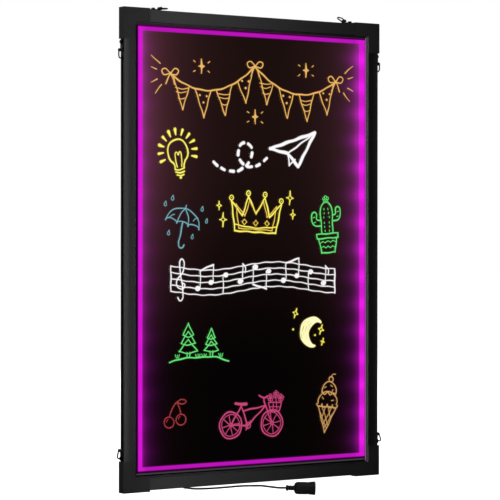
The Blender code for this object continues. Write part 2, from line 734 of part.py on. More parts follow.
def boot_profile():
    """Collar, then a neck with grooves that let it bend; the cord enters at the bottom."""
    top = BOOT_COLLAR_LENGTH + BOOT_NECK_LENGTH
    chamfer = BOOT_GROOVE_DEPTH
    profile = [(0.0, top), (BOOT_NECK_RADIUS, top)]
    pitch = BOOT_NECK_LENGTH / BOOT_GROOVES
    for index in range(BOOT_GROOVES):
        low = top - (index + 1) * pitch
        profile += [
            (BOOT_NECK_RADIUS, low + pitch / 2),
            (BOOT_NECK_RADIUS - BOOT_GROOVE_DEPTH, low + pitch / 2 - chamfer / 2),
            (BOOT_NECK_RADIUS - BOOT_GROOVE_DEPTH, low + chamfer / 2),
            (BOOT_NECK_RADIUS, low),
        ]
    return profile + [
        (BOOT_COLLAR_RADIUS, BOOT_COLLAR_LENGTH),
        (BOOT_COLLAR_RADIUS, chamfer),
        (BOOT_COLLAR_RADIUS - chamfer, 0.0),
        (0.0, 0.0),
    ]


def shell_profile():
    """Rounded shoulder, ribbed body, groove and flared end, with the socket's recess at the top."""
    body_low = SHELL_SHOULDER_LENGTH
    body_high = body_low + SHELL_BODY_LENGTH
    groove_low = body_high
    groove_high = groove_low + SHELL_GROOVE_LENGTH
    top = groove_high + SHELL_END_LENGTH
    rim = SHELL_GROOVE_DEPTH
    shoulder = [
        (BOOT_NECK_RADIUS + (SHELL_RADIUS - BOOT_NECK_RADIUS) * math.cos(a), body_low * (1 - math.sin(a)))
        for a in quarter_turn(SHOULDER_STEPS)
    ]
    return [
        (0.0, top - SOCKET_DEPTH),
        (SOCKET_RADIUS, top - SOCKET_DEPTH),
        (SOCKET_RADIUS, top),
        (SHELL_END_RADIUS - rim, top),
        (SHELL_END_RADIUS, top - rim),
        (SHELL_RADIUS, groove_high),
        (SHELL_RADIUS - SHELL_GROOVE_DEPTH, groove_high),
        (SHELL_RADIUS - SHELL_GROOVE_DEPTH, groove_low),
        (SHELL_RADIUS, groove_low),
        *shoulder,
        (0.0, 0.0),
    ]


def add_ribs(mesh, low, high, steps):
    """Press every second pair of lengthwise lines inward, which leaves ribs between them."""
    sides_per_rib = steps // SHELL_RIBS
    for vertex in mesh.vertices:
        radius = math.hypot(vertex.co.x, vertex.co.y)
        line = round(math.atan2(vertex.co.y, vertex.co.x) / (2 * math.pi) * steps)
        outer = radius > SHELL_RADIUS - SHELL_GROOVE_DEPTH / 2
        if outer and low <= vertex.co.z <= high and line % sides_per_rib:
            scale = 1 - SHELL_RIB_DEPTH / radius
            vertex.co.x *= scale
            vertex.co.y *= scale


def make_connector():
    boot_place = connector_matrix(PIECE_GAP)
    boot_length = BOOT_COLLAR_LENGTH + BOOT_NECK_LENGTH
    boot = turned_mesh("connector_boot", boot_profile(), FINE_STEPS)
    add_object("connector_boot", boot, BOARD, "connector", boot_place)

    shell_start = PIECE_GAP + boot_length + PIECE_GAP
    shell = turned_mesh("connector_shell", shell_profile(), SHELL_STEPS)
    shell_length = SHELL_SHOULDER_LENGTH + SHELL_BODY_LENGTH + SHELL_GROOVE_LENGTH + SHELL_END_LENGTH
    add_ribs(shell, SHELL_SHOULDER_LENGTH / 2, shell_length, SHELL_STEPS)
    add_object("connector_shell", shell, BOARD, "connector", connector_matrix(shell_start))

    insert_low = shell_start + shell_length - SOCKET_DEPTH + PIECE_GAP
    insert_length = SOCKET_DEPTH - PIECE_GAP - INSERT_RECESS
    profile = [
        (0.0, insert_length),
        (SOCKET_RADIUS - PIECE_GAP, insert_length),
        (SOCKET_RADIUS - PIECE_GAP, 0.0),
        (0.0, 0.0),
    ]
    insert_place = connector_matrix(insert_low)
    insert_mesh = turned_mesh("connector_insert", profile, FINE_STEPS)
    insert = add_object("connector_insert", insert_mesh, BOARD, "seal", insert_place)
    spots = [Vector((sign * CONTACT_SPACING / 2, 0, 0)) for sign in (-1, 1)]
    socket_height = insert_length - CONTACT_LENGTH
    tall = insert_length
    centres = [spot + Vector((0, 0, socket_height + tall / 2)) for spot in spots]
    holes = cylinders_mesh("contact_holes", centres, CONTACT_RADIUS + PIECE_GAP, tall, Matrix.Identity(4))
    boolean(insert, cutter("contact_holes", holes, insert_place))
    make_contacts(spots, socket_height + PIECE_GAP, insert_length, insert_place)


def make_contacts(spots, low, high, place):
    """Two tubes that take the other half's pins."""
    profile = [
        (CONTACT_BORE_RADIUS, high),
        (CONTACT_RADIUS, high),
        (CONTACT_RADIUS, low),
        (0.0, low),
        (0.0, low + CONTACT_BORE_RADIUS),
        (CONTACT_BORE_RADIUS, low + CONTACT_BORE_RADIUS),
        (CONTACT_BORE_RADIUS, high),
    ]
    mesh = turned_mesh("connector_contact", profile, SMALL_STEPS)
    for number, spot in enumerate(spots, start=1):
        frame = place @ Matrix.Translation(spot)
        add_object(f"connector_contact_{number}", mesh, BOARD, "contact", frame)


# Hanger frame: X along the rail away from the cap, Z outward from the rail's outer face, Y across it
SECTION_TO_HANGER = Matrix.Rotation(math.pi / 2, 4, "X")


def strap_outline():
    """Plate and rolled knuckle seen from the side: x along the rail, y outward."""
    low = PIECE_GAP
    high = PIECE_GAP + STRAP_THICKNESS
    hinge = (HINGE_DISTANCE, HINGE_HEIGHT)
    inner = RING_WIRE_RADIUS + PIECE_GAP
    outer = inner + STRAP_THICKNESS
    start = -math.pi / 2
    outside = arc(hinge, outer, start, STRAP_CURL_END, FINE_ARC_STEP)
    inside = arc(hinge, inner, STRAP_CURL_END, start, FINE_ARC_STEP)
    return [(-STRAP_END_REACH, low)] + outside + inside + [(-STRAP_END_REACH, high)]


def strap_mesh():
    mesh = extruded_outlines("hanger_strap", [strap_outline()], STRAP_WIDTH / 2)
    mesh.transform(SECTION_TO_HANGER)
    bm = bmesh.new()
    bm.from_mesh(mesh)
    end = -STRAP_END_REACH
    corners = [
        edge
        for edge in bm.edges
        if all(abs(v.co.x - end) < MERGE_DISTANCE for v in edge.verts)
        and abs(edge.verts[0].co.y - edge.verts[1].co.y) < MERGE_DISTANCE
    ]
    bmesh.ops.bevel(bm, geom=corners, offset=STRAP_CORNER_RADIUS, segments=3, affect="EDGES", profile=0.5)
    bm.to_mesh(mesh)
    bm.free()
    return mesh


def ring_points():
    """The D-shaped wire in the hanger's frame, about its hinge: straight bar, two legs, round end."""
    half = RING_WIDTH / 2
    corner = RING_CORNER_RADIUS
    flat = arc((corner, corner - half), corner, math.pi, 1.5 * math.pi, ARC_STEP)
    flat += arc((RING_REACH - half, 0.0), half, -math.pi / 2, math.pi / 2, FINE_ARC_STEP)
    flat += arc((corner, half - corner), corner, math.pi / 2, math.pi, ARC_STEP)
    return [(x, y, 0.0) for x, y in flat]


def hanger_screw_mesh():
    strap_top = PIECE_GAP + STRAP_THICKNESS
    head_low = strap_top + PIECE_GAP
    head_high = head_low + HANGER_HEAD_HEIGHT
    nut_top = -CHANNEL_LIP - PIECE_GAP
    shank_end = nut_top - NUT_THICKNESS + PIECE_GAP
    edge = HANGER_HEAD_HEIGHT / 2
    crown = [
        (HANGER_HEAD_RADIUS - edge * (1 - math.sin(a)), head_high - edge * (1 - math.cos(a)))
        for a in quarter_turn(CROWN_STEPS)
    ]
    profile = [
        (0.0, head_high),
        *crown,
        (HANGER_HEAD_RADIUS, head_low),
        (HANGER_SHANK_RADIUS, head_low),
        (HANGER_SHANK_RADIUS, shank_end),
        (0.0, shank_end),
    ]
    return turned_mesh("hanger_screw", profile, SMALL_STEPS)


def hanger_nut_mesh():
    """A slip-in nut under the channel's lips."""
    top = -CHANNEL_LIP - PIECE_GAP
    half_width = CHANNEL_WIDTH / 2 - PIECE_GAP
    low = (-NUT_LENGTH / 2, -half_width, top - NUT_THICKNESS)
    high = (NUT_LENGTH / 2, half_width, top)
    return box_mesh("hanger_nut", low, high, NUT_EDGE_CHAMFER)


def hanger_frame(side, end, slide):
    """The hanger's place: its screw's axis, where it leaves the rail's outer face."""
    outward = DIRECTIONS[side]
    away = -DIRECTIONS[end]
    half_width = BOARD_WIDTH / 2
    middle = Vector((0, 0, MIDDLE_HEIGHT))
    outer = half_width if side in ("left", "right") else MIDDLE_HEIGHT
    length = MIDDLE_HEIGHT if side in ("left", "right") else half_width
    inset = length - CAP_LEG_LENGTH - PIECE_GAP - STRAP_END_REACH - slide
    place = middle + outward * (outer - CAP_PROUD) - away * inset
    turn = Matrix((away, outward.cross(away), outward)).transposed().to_4x4()
    return Matrix.Translation(place) @ turn


def make_hangers():
    strap = strap_mesh()
    screw = hanger_screw_mesh()
    nut = hanger_nut_mesh()
    ring = wire_mesh("hanger_ring", ring_points(), RING_WIRE_RADIUS, closed=True)
    hole_length = CHANNEL_LIP + CHANNEL_DEPTH + HINGE_HEIGHT
    centres = [Vector((0, 0, 0))]
    hole = cylinders_mesh("hanger_hole", centres, HANGER_HOLE_RADIUS, 2 * hole_length, Matrix.Identity(4))
    for place, (side, end, slide, lift) in HANGERS.items():
        frame = hanger_frame(side, end, slide)
        carriage = bpy.data.objects.new(f"hanger_{place}", None)
        BOARD.objects.link(carriage)
        carriage.matrix_world = frame
        strap_object = add_object(f"hanger_strap_{place}", strap, BOARD, "black_steel")
        nut_object = add_object(f"hanger_nut_{place}", nut, BOARD, "steel")
        screw_object = add_object(f"hanger_screw_{place}", screw, BOARD, "black_steel")
        ring_object = add_object(f"hanger_ring_{place}", ring, BOARD, "black_steel")
        drill = cutter(f"hanger_hole_{place}", hole)
        for obj in (strap_object, nut_object, screw_object, ring_object, drill):
            obj.parent = carriage
        ring_object.location = (HINGE_DISTANCE, 0, HINGE_HEIGHT)
        ring_object.rotation_euler = (0, -lift, 0)
        boolean(strap_object, drill)
        boolean(nut_object, drill)


def main():
    holes = make_rails()
    make_corner_caps()
    make_corner_keys(holes)
    make_cap_screws()
    make_glazing()
    make_led_ribbons()
    make_feed_leads()
    make_cord_grommet()
    make_cord()
    make_connector()
    make_hangers()


main()
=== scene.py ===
"""Looks of the LED writing board: camera, cord, marker drawings, materials, floor and lights.

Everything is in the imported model's frame: +X to the right seen from the front, -Y towards the viewer,
+Z up, with the origin on the ground under the middle of the board. Lengths are in metres.
"""
import math
import random

import bmesh
import bpy
from mathutils import Matrix, Vector


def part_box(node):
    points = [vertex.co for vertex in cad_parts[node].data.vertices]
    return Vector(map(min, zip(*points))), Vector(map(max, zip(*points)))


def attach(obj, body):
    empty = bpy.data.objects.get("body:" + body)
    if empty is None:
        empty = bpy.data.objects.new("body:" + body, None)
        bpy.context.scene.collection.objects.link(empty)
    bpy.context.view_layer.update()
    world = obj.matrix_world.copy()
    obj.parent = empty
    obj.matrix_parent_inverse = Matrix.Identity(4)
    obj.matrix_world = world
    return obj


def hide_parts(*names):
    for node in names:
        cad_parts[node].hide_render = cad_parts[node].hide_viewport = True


MM = 0.001
WHITE = (1.0, 1.0, 1.0, 1.0)
BLACK = (0.0, 0.0, 0.0, 1.0)

# Camera, fitted to the board's edges in the photograph
IMAGE_WIDTH_PIXELS = 500
FOCAL_PIXELS = 2249.1
SENSOR_WIDTH_MM = 36
CAMERA_PLACE = (-1.6759, -2.4060, 0.3203)
CAMERA_YAW = math.radians(-34.757)
CAMERA_PITCH = math.radians(89.695)
CAMERA_ROLL = math.radians(0.036)
CLIP_START = 0.1
CLIP_END = 100

# Floor, world, and the lamps: place, target, width, height, watts, and whether shiny surfaces mirror them
FLOOR_HALF_SIZE = 12.0
FLOOR_LEVEL = 1.1
FLOOR_TONES = (0.55, 0.6)
WORLD_DIM_LEVEL = 0.008
LAMPS = {
    "front_left": ((-0.12, -0.235, 0.29), (-0.12, 0.0, 0.29), 0.10, 1.0, 2.5, False),
    "front": ((-0.6, -2.4, 0.9), (0.0, 0.0, 0.3), 1.2, 1.6, 6.0, False),
    "overhead": ((0.2, 0.3, 2.2), (0.0, 0.0, 0.3), 1.6, 1.6, 6.0, True),
    "behind": ((0.8, 2.2, 1.0), (0.0, 0.0, 0.3), 1.6, 1.6, 20.0, True),
    "right": ((2.2, 0.5, 0.8), (0.0, 0.0, 0.3), 1.0, 1.4, 10.0, True),
    "left": ((-1.5, 1.4, 0.6), (-0.2, 0.0, 0.3), 1.0, 1.4, 3.0, True),
}

# Cord: its route on the ground, its size, and what it ends in
CORD_RADIUS = 1.25 * MM
CORD_STEPS_PER_POINT = 6
CORD_SIDES = 6
CORD_POINTS_MM = [
    (-107.0, -4.9, 1.70),
    (-107.0, -8.4, 1.50),
    (-105.9, -12.6, 1.35),
    (-102.2, -17.2, 1.25),
    (-96.0, -21.0, 1.25),
    (-87.0, -23.8, 1.25),
    (-75.0, -25.0, 1.25),
    (-60.0, -24.6, 1.25),
    (-46.0, -23.6, 1.25),
    (-35.0, -24.0, 1.25),
    (-26.6, -27.4, 1.30),
    (-22.0, -34.0, 1.70),
    (-21.4, -44.0, 2.60),
    (-25.2, -58.0, 3.80),
    (-31.4, -73.0, 5.10),
    (-37.8, -88.0, 6.40),
    (-43.4, -101.0, 7.60),
    (-46.8, -110.0, 8.30),
    (-47.8, -116.6, 8.60),
    (-46.2, -121.6, 8.60),
    (-42.8, -124.9, 8.60),
    (-40.2, -127.2, 8.60),
]
CORD_ROUTE = [tuple(part * MM for part in point) for point in CORD_POINTS_MM]

# Light band: where the lit strip starts and ends, inward from the rails' lip, and how soft its edges are
BAND_REVEAL = 14.6 * MM
BAND_CHAMFER = 0.12 * MM
STRIP_START = {"left": 6.9 * MM, "right": 2.9 * MM, "bottom": 7.9 * MM, "top": 4.7 * MM}
STRIP_END = {"left": 13.0 * MM, "right": 11.3 * MM, "bottom": 12.7 * MM, "top": 9.8 * MM}
STRIP_SOFTNESS = 0.9 * MM
STRIP_LEVELS = (0.465, 0.535)
STRIP_TINT = (1.0, 0.012, 0.97)
STRIP_SIDE_DEPTHS = (22 * MM, 11 * MM)
STRIP_SIDE_LEVEL = {"left": 0.17, "right": 0.16}
SPOT_LEVEL = {"left": 0.05, "right": 0.26}
SPOT_PITCH = 36.5 * MM
SPOT_MIDDLE = 305 * MM
SPOT_SHARPNESS = 1.6
CHIP_SPOT_SHARES = (0.97, 0.99)
CHIP_LEVEL = 2.0

# Unlit margin between the lip and the lit strip: thin painted reflections in it, each with its distance from
# the lip, its half width and its colour, and the strip's own soft glow
PAINTED_MARGIN_REFLECTIONS = {
    "right": (1.3 * MM, 1.2 * MM, (0.24, 0.12, 0.25)),
    "bottom": (4.1 * MM, 1.4 * MM, (0.054, 0.052, 0.058)),
    "top": (2.4 * MM, 0.8 * MM, (0.05, 0.011, 0.042)),
}
MARGIN_REFLECTION_CORE_SHARE = 0.35
MARGIN_GLOW_REACH = 1.4 * MM
MARGIN_GLOW_LEVEL = 0.07

# Painted haze of light on the backing from both long edges, and a dim painted warm sheen, each given low down
# and high up
HAZE_NEAR_REACH = 9 * MM
HAZE_FAR_REACH = 45 * MM
HAZE_EDGE_REACH = 2.6 * MM
HAZE_EDGE_LEVELS = {"left": 0.16, "right": 0.30}
HAZE_NEAR_LEVELS = {"left": (0.135, 0.140), "right": (0.175, 0.410)}
HAZE_FAR_LEVELS = {"left": (0.006, 0.094), "right": (0.008, 0.052)}
HAZE_WARM_LEVELS = (0.0006, 0.0092)
HAZE_NEAR_TINT = (1.0, 0.012, 1.0)
HAZE_FAR_TINT = (1.0, 0.29, 0.42)
HAZE_WARM_TINT = (1.0, 0.46, 0.34)
HAZE_SPOT_SHARES = {"left": 0.22, "right": 0.40}
HAZE_CLOUD_SHARES = (0.75, 1.25)
HAZE_LOW = 130 * MM
HAZE_HIGH = 480 * MM

# Noise textures: swells to a metre, or along x, y and z where they are stretched, and finer layers
TEXTURES = {
    "upright_lines": ((900, 900, 9), 2),
    "level_lines": ((9, 900, 900), 2),
    "rail_cloud": (18, 4),
    "rail_wear": (160, 3),
    "cap_grain": (1600, 2),
    "connector_grain": (1200, 2),
    "plastic_cloud": (35, 4),
    "plastic_wear": (220, 3),
    "metal_scratches": ((300, 300, 3000), 2),
    "metal_cloud": (90, 5),
    "metal_wear": (420, 4),
    "smudges": ((6, 1, 14), 5),
    "haze_cloud": (9, 3),
    "rear_cloud": (14, 5),
    "rear_grain": (900, 2),
    "strip_cloud": (40, 2),
    "band_cloud": (70, 3),
    "dust": (500, 4),
    "jacket_marks": (900, 3),
    "jacket_cloud": (60, 3),
    "lead_cloud": (300, 3),
    "mask_cloud": (400, 3),
    "ink_patches": (260, 3),
    "floor_cloud": (3, 3),
}
LINE_DEPTH = 0.02 * MM
GRAIN_DEPTH = 0.03 * MM
SCRATCH_DEPTH = 0.01 * MM
DUST_DEPTH = 0.05 * MM

# Which way a face looks, as a part of its normal, and how slanted it is where it counts as an edge
FACING_RANGE = (-0.3, -0.9)
EDGE_POWER = 8.0
EDGE_RANGE = (0.75, 0.35)

# Rails: tones of the finish and the rubbed edges, the painted glow on the right lip, and the painted light and
# shade across each kind of rail
RAIL_TINT = (1.0, 1.0, 1.03)
RAIL_TONE = 0.018
RAIL_EDGE_TONE = 0.03
RAIL_PAINTED_GLOW_TONE = 0.075
PAINTED_LIP_GLOW_REACH = 0.8 * MM
UPRIGHT_PAINTED_SHADE_DEPTHS = (1.5 * MM, 10 * MM)
UPRIGHT_PAINTED_SHADE_SHARES = (1.34, 0.60)
PAINTED_LIP_SHADE_DEPTHS = (0.5 * MM, 1.5 * MM)
PAINTED_LIP_SHADE_SHARE = 0.12
LEVEL_PAINTED_LIGHT_RIGHT_SHARE = 1.3

# Plastics: tone, roughness, grain texture, and the tone's share on the board's right, a painted sheen
PLASTIC_TINT = (1.0, 1.0, 1.04)
PLASTIC_EDGE_SHARE = 0.8
PLASTIC_PAINTED_GLOW_TONE = 0.11
PLASTICS = {
    "cap_plastic": (0.0095, 0.48, "cap_grain", 2.6),
    "connector_plastic": (0.0025, 0.34, "connector_grain", 1.0),
}

# Metals: colour, roughness, and the colour where they are worn
METALS = {
    "key_steel": ((0.45, 0.45, 0.46), 0.40, (0.70, 0.70, 0.70)),
    "screw_steel": ((0.03, 0.03, 0.032), 0.35, (0.30, 0.30, 0.31)),
    "contact_brass": ((0.75, 0.58, 0.30), 0.25, (0.90, 0.80, 0.60)),
    "hanger_steel": ((0.035, 0.035, 0.037), 0.32, (0.45, 0.45, 0.46)),
    "nut_steel": ((0.50, 0.50, 0.49), 0.38, (0.75, 0.75, 0.74)),
}
METAL_WEAR_RANGE = (0.55, 0.73)
METAL_WORN_SHARE = 0.55

# Seal: tones of its bloom, and where and how far the glow painted on it reaches; and the cord's tone
SEAL_TONES = (0.008, 0.018)
SEAL_PAINTED_GLOW_TONE = 0.14
SEAL_PAINTED_GLOW_INSETS = (3 * MM, 2 * MM)
CORD_TONE = 0.004

# Marker ink: height on the panel, thickness in the middle of a line, soft rim of painted glow, and the pens'
# half widths
INK_GAP = 0.05 * MM
INK_CROWN = 0.10 * MM
INK_LAYER_STEP = 0.003 * MM
INK_GLOW_RIM = 1.4 * MM
INK_GLOW_RIM_ALPHA = 0.28
INK_POINT_STEP = 1.8 * MM
INK_WOBBLE = 0.35 * MM
INK_WOBBLE_LENGTH = 22 * MM
INK_WIDTH_VARIATION_SHARE = 0.12
INK_WIDTH_LENGTH = 31 * MM
INK_ACROSS_SHARES = (0.0, 0.6, 1.0, 2.0)
INK_CAP_STEPS = 6
INK_DOT_LENGTH = 0.2 * MM
INK_ARC_STEP_DEGREES = 12
INK_ARC_OVERLAP_DEGREES = 10
INK_CURVE_STEPS = 6
SPARKLE_HOLLOW_SHARE = 0.22
FINE = 0.55 * MM
THIN = 0.75 * MM
MEDIUM = 1.0 * MM
THICK = 2.0 * MM
HUNDREDTH = 0.01
CENTRE = (0, 0)

# Each ink's painted glow colour, in the middle of a line and at its edges
INKS = {
    "orange": ((236, 190, 104), (196, 128, 52)),
    "white": ((255, 255, 255), (226, 220, 226)),
    "yellow": ((255, 253, 112), (214, 186, 30)),
    "pale": ((255, 255, 205), (255, 238, 120)),
    "gold": ((240, 205, 84), (176, 134, 34)),
    "green": ((104, 232, 120), (40, 150, 60)),
    "cyan": ((116, 170, 180), (58, 120, 132)),
    "amber": ((205, 160, 104), (160, 110, 40)),
    "pink": ((200, 66, 116), (140, 40, 84)),
    "red": ((158, 42, 48), (110, 14, 18)),
}

# Marker drawings: ink, middle across and up the panel, height, and tilt in degrees
DRAWINGS = {
    "garland": ("orange", 0 * MM, 506 * MM, 82 * MM, 0),
    "bulb": ("yellow", -119 * MM, 425 * MM, 64 * MM, 8),
    "plane": ("white", 62 * MM, 436 * MM, 44 * MM, 6),
    "umbrella": ("cyan", -113 * MM, 336 * MM, 62 * MM, -14),
    "crown": ("yellow", 2 * MM, 352 * MM, 60 * MM, -3),
    "crown_inside": ("gold", 2 * MM, 352 * MM, 60 * MM, -3),
    "cactus": ("green", 117 * MM, 338 * MM, 74 * MM, 4),
    "staff": ("white", 0 * MM, 268 * MM, 50 * MM, 0),
    "trees": ("green", -88 * MM, 186 * MM, 52 * MM, 0),
    "moon": ("pale", 92 * MM, 196 * MM, 46 * MM, -18),
    "moon_sparkles": ("yellow", 92 * MM, 196 * MM, 46 * MM, -18),
    "cherries": ("red", -124 * MM, 96 * MM, 36 * MM, 0),
    "bicycle": ("pink", -6 * MM, 92 * MM, 64 * MM, 0),
    "cone": ("amber", 118 * MM, 100 * MM, 78 * MM, -7),
}

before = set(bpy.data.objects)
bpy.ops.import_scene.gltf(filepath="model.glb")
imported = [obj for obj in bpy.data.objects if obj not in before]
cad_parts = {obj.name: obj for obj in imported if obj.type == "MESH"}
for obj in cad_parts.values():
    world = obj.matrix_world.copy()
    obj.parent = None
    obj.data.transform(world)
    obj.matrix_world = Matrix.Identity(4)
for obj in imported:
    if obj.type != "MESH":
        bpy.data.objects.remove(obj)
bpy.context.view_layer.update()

# The board's main places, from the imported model: the rails' outer face and inner lips, and the panel's front
RAIL_OUTER_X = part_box("rail_right")[1][0]
LIP_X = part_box("rail_right")[0][0]
LIP_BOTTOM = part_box("rail_bottom")[1][2]
LIP_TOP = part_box("rail_top")[0][2]
PANEL_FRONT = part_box("writing_panel")[0][1]


class Graph:
    """Short ways to add and join a material's nodes, with the place and the facing of each point."""

    def __init__(self, name):
        self.material = bpy.data.materials.new(name)
        self.material.use_nodes = True
        self.nodes = self.material.node_tree.nodes
        self.links = self.material.node_tree.links
        self.shader = next(node for node in self.nodes if node.type == "BSDF_PRINCIPLED")
        self.place = self.new("TexCoord").outputs["Object"]
        self.x, _, self.z = self.parts(self.place)
        self.facing = self.parts(self.new("NewGeometry").outputs["True Normal"])

    def new(self, kind, **settings):
        node = self.nodes.new("ShaderNode" + kind)
        for name, value in settings.items():
            setattr(node, name, value)
        return node

    def put(self, socket, value):
        if isinstance(value, bpy.types.NodeSocket):
            self.links.new(value, socket)
        else:
            socket.default_value = value

    def fill(self, node, **inputs):
        """Sets or joins a node's inputs, named with underscores for spaces."""
        for name, value in inputs.items():
            self.put(node.inputs[name.replace("_", " ")], value)
        return node

    def set(self, **inputs):
        self.fill(self.shader, **inputs)

    def fill_in_order(self, node, values):
        for socket, value in zip(node.inputs, values):
            self.put(socket, value)
        return node

    def parts(self, vector):
        return self.fill_in_order(self.new("SeparateXYZ"), [vector]).outputs

    def math(self, operation, *values, clamp=False):
        node = self.new("Math", operation=operation, use_clamp=clamp)
        return self.fill_in_order(node, values).outputs[0]

    def add(self, *values):
        total = values[0]
        for value in values[1:]:
            total = self.math("ADD", total, value)
        return total

    def times(self, *values):
        total = values[0]
        for value in values[1:]:
            total = self.math("MULTIPLY", total, value)
        return total

    def step(self, value, low, high):
        """0 at low and before it, 1 at high and past it, and smooth between them."""
        node = self.new("MapRange", interpolation_type="SMOOTHSTEP")
        return self.fill(node, Value=value, From_Min=low, From_Max=high).outputs[0]

    def span(self, share, low, high):
        """A number from low to high as share goes from 0 to 1."""
        return self.math("MULTIPLY_ADD", share, high - low, low)

    def fade(self, distance, reach):
        """1 at no distance, falling by a factor of e with each reach."""
        return self.math("EXPONENT", self.math("DIVIDE", distance, -reach))

    def mix(self, share, first, second, blend="MIX"):
        """A colour from first to second as share goes from 0 to 1, or their sum where blend is ADD."""
        node = self.new("Mix", data_type="RGBA", blend_type=blend)
        return self.fill(node, Factor=share, A=opaque(first), B=opaque(second)).outputs["Result"]

    def colour(self, values):
        """A colour from three numbers or sockets."""
        return self.fill_in_order(self.new("CombineColor"), values).outputs[0]

    def tinted(self, level, tint):
        return self.colour([self.times(level, part) for part in tint])

    def noise(self, name, roughness=0.5):
        """One of the noise textures, in the object's own coordinates."""
        scale, layers = TEXTURES[name]
        place = self.place
        if isinstance(scale, tuple):
            place = self.fill(self.new("Mapping"), Vector=place, Scale=scale).outputs[0]
            scale = 1
        node = self.new("TexNoise")
        return self.fill(node, Vector=place, Scale=scale, Detail=layers, Roughness=roughness).outputs["Fac"]

    def bump(self, height, distance, strength):
        return self.fill(self.new("Bump"), Height=height, Distance=distance, Strength=strength).outputs[0]

    def front_share(self):
        """1 on faces that look to the front, 0 on the others."""
        return self.step(self.facing[1], *FACING_RANGE)

    def painted_light_right_share(self):
        """0 at the board's left and 1 at its right, for painted light that grows towards the right."""
        return self.step(self.x, -LIP_X, LIP_X)

    def edge_share(self):
        """Near 1 on the slanted faces of edges, and 0 on faces square to the axes."""
        squares = [self.math("POWER", self.math("ABSOLUTE", part), EDGE_POWER) for part in self.facing]
        return self.step(self.add(*squares), *EDGE_RANGE)

    def painted_lip_glow(self):
        """Near 1 on the narrow face of the right-hand lip, where the glow from across the board is painted on.
        """
        near = [self.step(self.x, LIP_X + way * PAINTED_LIP_GLOW_REACH, LIP_X) for way in (-1, 1)]
        return self.times(self.step(self.facing[0], *FACING_RANGE), *near)

    def inward_distances(self):
        """How far a point is inside each of the four lips."""
        return {
            "left": self.math("ADD", self.x, LIP_X),
            "right": self.math("SUBTRACT", LIP_X, self.x),
            "bottom": self.math("SUBTRACT", self.z, LIP_BOTTOM),
            "top": self.math("SUBTRACT", LIP_TOP, self.z),
        }


def opaque(value):
    """The colour with its alpha, or the socket as it is."""
    if isinstance(value, bpy.types.NodeSocket) or len(value) == 4:
        return value
    return (*value, 1.0)


# Materials


def rail_material(name, lines_name):
    """Satin black extrusion with fine lines along the rail and edges rubbed a little lighter, with painted
    light and shade across the rails and a painted glow on the right lip.
    """
    g = Graph(name)
    lines = g.noise(lines_name)
    tone = g.add(g.span(lines, 0.85, 1.15), g.span(g.noise("rail_cloud"), -0.12, 0.12))
    if name == "rail_upright":
        # Painted shade: the uprights lighter at their outer edge and darker towards the lip
        depth = g.math("SUBTRACT", RAIL_OUTER_X, g.math("ABSOLUTE", g.x))
        painted_light_and_shade = g.span(g.step(depth, *UPRIGHT_PAINTED_SHADE_DEPTHS), *UPRIGHT_PAINTED_SHADE_SHARES)
    else:
        # Painted shade: the level rails darker close to their inner lip
        off_middle = g.math("ABSOLUTE", g.math("SUBTRACT", g.z, (LIP_TOP + LIP_BOTTOM) / 2))
        depth = g.math("SUBTRACT", off_middle, (LIP_TOP - LIP_BOTTOM) / 2)
        painted_lip_shade = g.span(g.step(depth, *PAINTED_LIP_SHADE_DEPTHS), PAINTED_LIP_SHADE_SHARE, 1.0)
        # Painted light: the level rails lighter towards the board's right
        painted_light_and_shade = g.times(painted_lip_shade, g.span(g.painted_light_right_share(), 1.0, LEVEL_PAINTED_LIGHT_RIGHT_SHARE))
    edge = g.times(g.edge_share(), g.step(g.noise("rail_wear"), 0.35, 0.7))
    # The painted glow on the right lip is added to the rail's tone here
    level = g.add(
        g.times(tone, painted_light_and_shade, RAIL_TONE), g.times(edge, RAIL_EDGE_TONE), g.times(g.painted_lip_glow(), RAIL_PAINTED_GLOW_TONE)
    )
    g.set(
        Base_Color=g.tinted(level, RAIL_TINT),
        Roughness=g.span(lines, 0.34, 0.48),
        Normal=g.bump(lines, LINE_DEPTH, 0.5),
    )
    return g.material


def plastic_material(name):
    """Moulded black plastic with a fine grain, a painted sheen towards the board's right, and a painted glow
    on the right lip.
    """
    base_tone, roughness, grain, painted_light_right_share = PLASTICS[name]
    g = Graph(name)
    cloud = g.noise("plastic_cloud")
    edge = g.times(g.edge_share(), g.step(g.noise("plastic_wear"), 0.3, 0.75))
    tone = g.times(g.add(g.span(cloud, 0.85, 1.15), g.times(edge, PLASTIC_EDGE_SHARE)), base_tone)
    # Painted sheen: the tone raised towards the board's right
    tone = g.times(tone, g.span(g.painted_light_right_share(), 1.0, painted_light_right_share))
    # Painted glow on the right lip
    tone = g.add(tone, g.times(g.painted_lip_glow(), PLASTIC_PAINTED_GLOW_TONE))
    g.set(
        Base_Color=g.tinted(tone, PLASTIC_TINT),
        Roughness=g.span(cloud, roughness - 0.06, roughness + 0.06),
        Normal=g.bump(g.noise(grain), GRAIN_DEPTH, 0.6),
    )
    return g.material


def metal_material(name):
    """Plated or blackened steel, or brass, with scratches, darker clouds and edges worn bright."""
    colour, roughness, worn_colour = METALS[name]
    g = Graph(name)
    scratches = g.noise("metal_scratches")
    wear = g.step(g.noise("metal_wear"), *METAL_WEAR_RANGE)
    rubbed = g.math("MAXIMUM", g.times(g.edge_share(), 0.6), wear)
    clouded = g.span(g.noise("metal_cloud"), roughness - 0.05, roughness + 0.1)
    g.set(
        Base_Color=g.mix(g.times(rubbed, METAL_WORN_SHARE), colour, worn_colour),
        Metallic=1.0,
        Roughness=g.add(clouded, g.times(scratches, 0.05)),
        Normal=g.bump(scratches, SCRATCH_DEPTH, 0.4),
    )
    return g.material


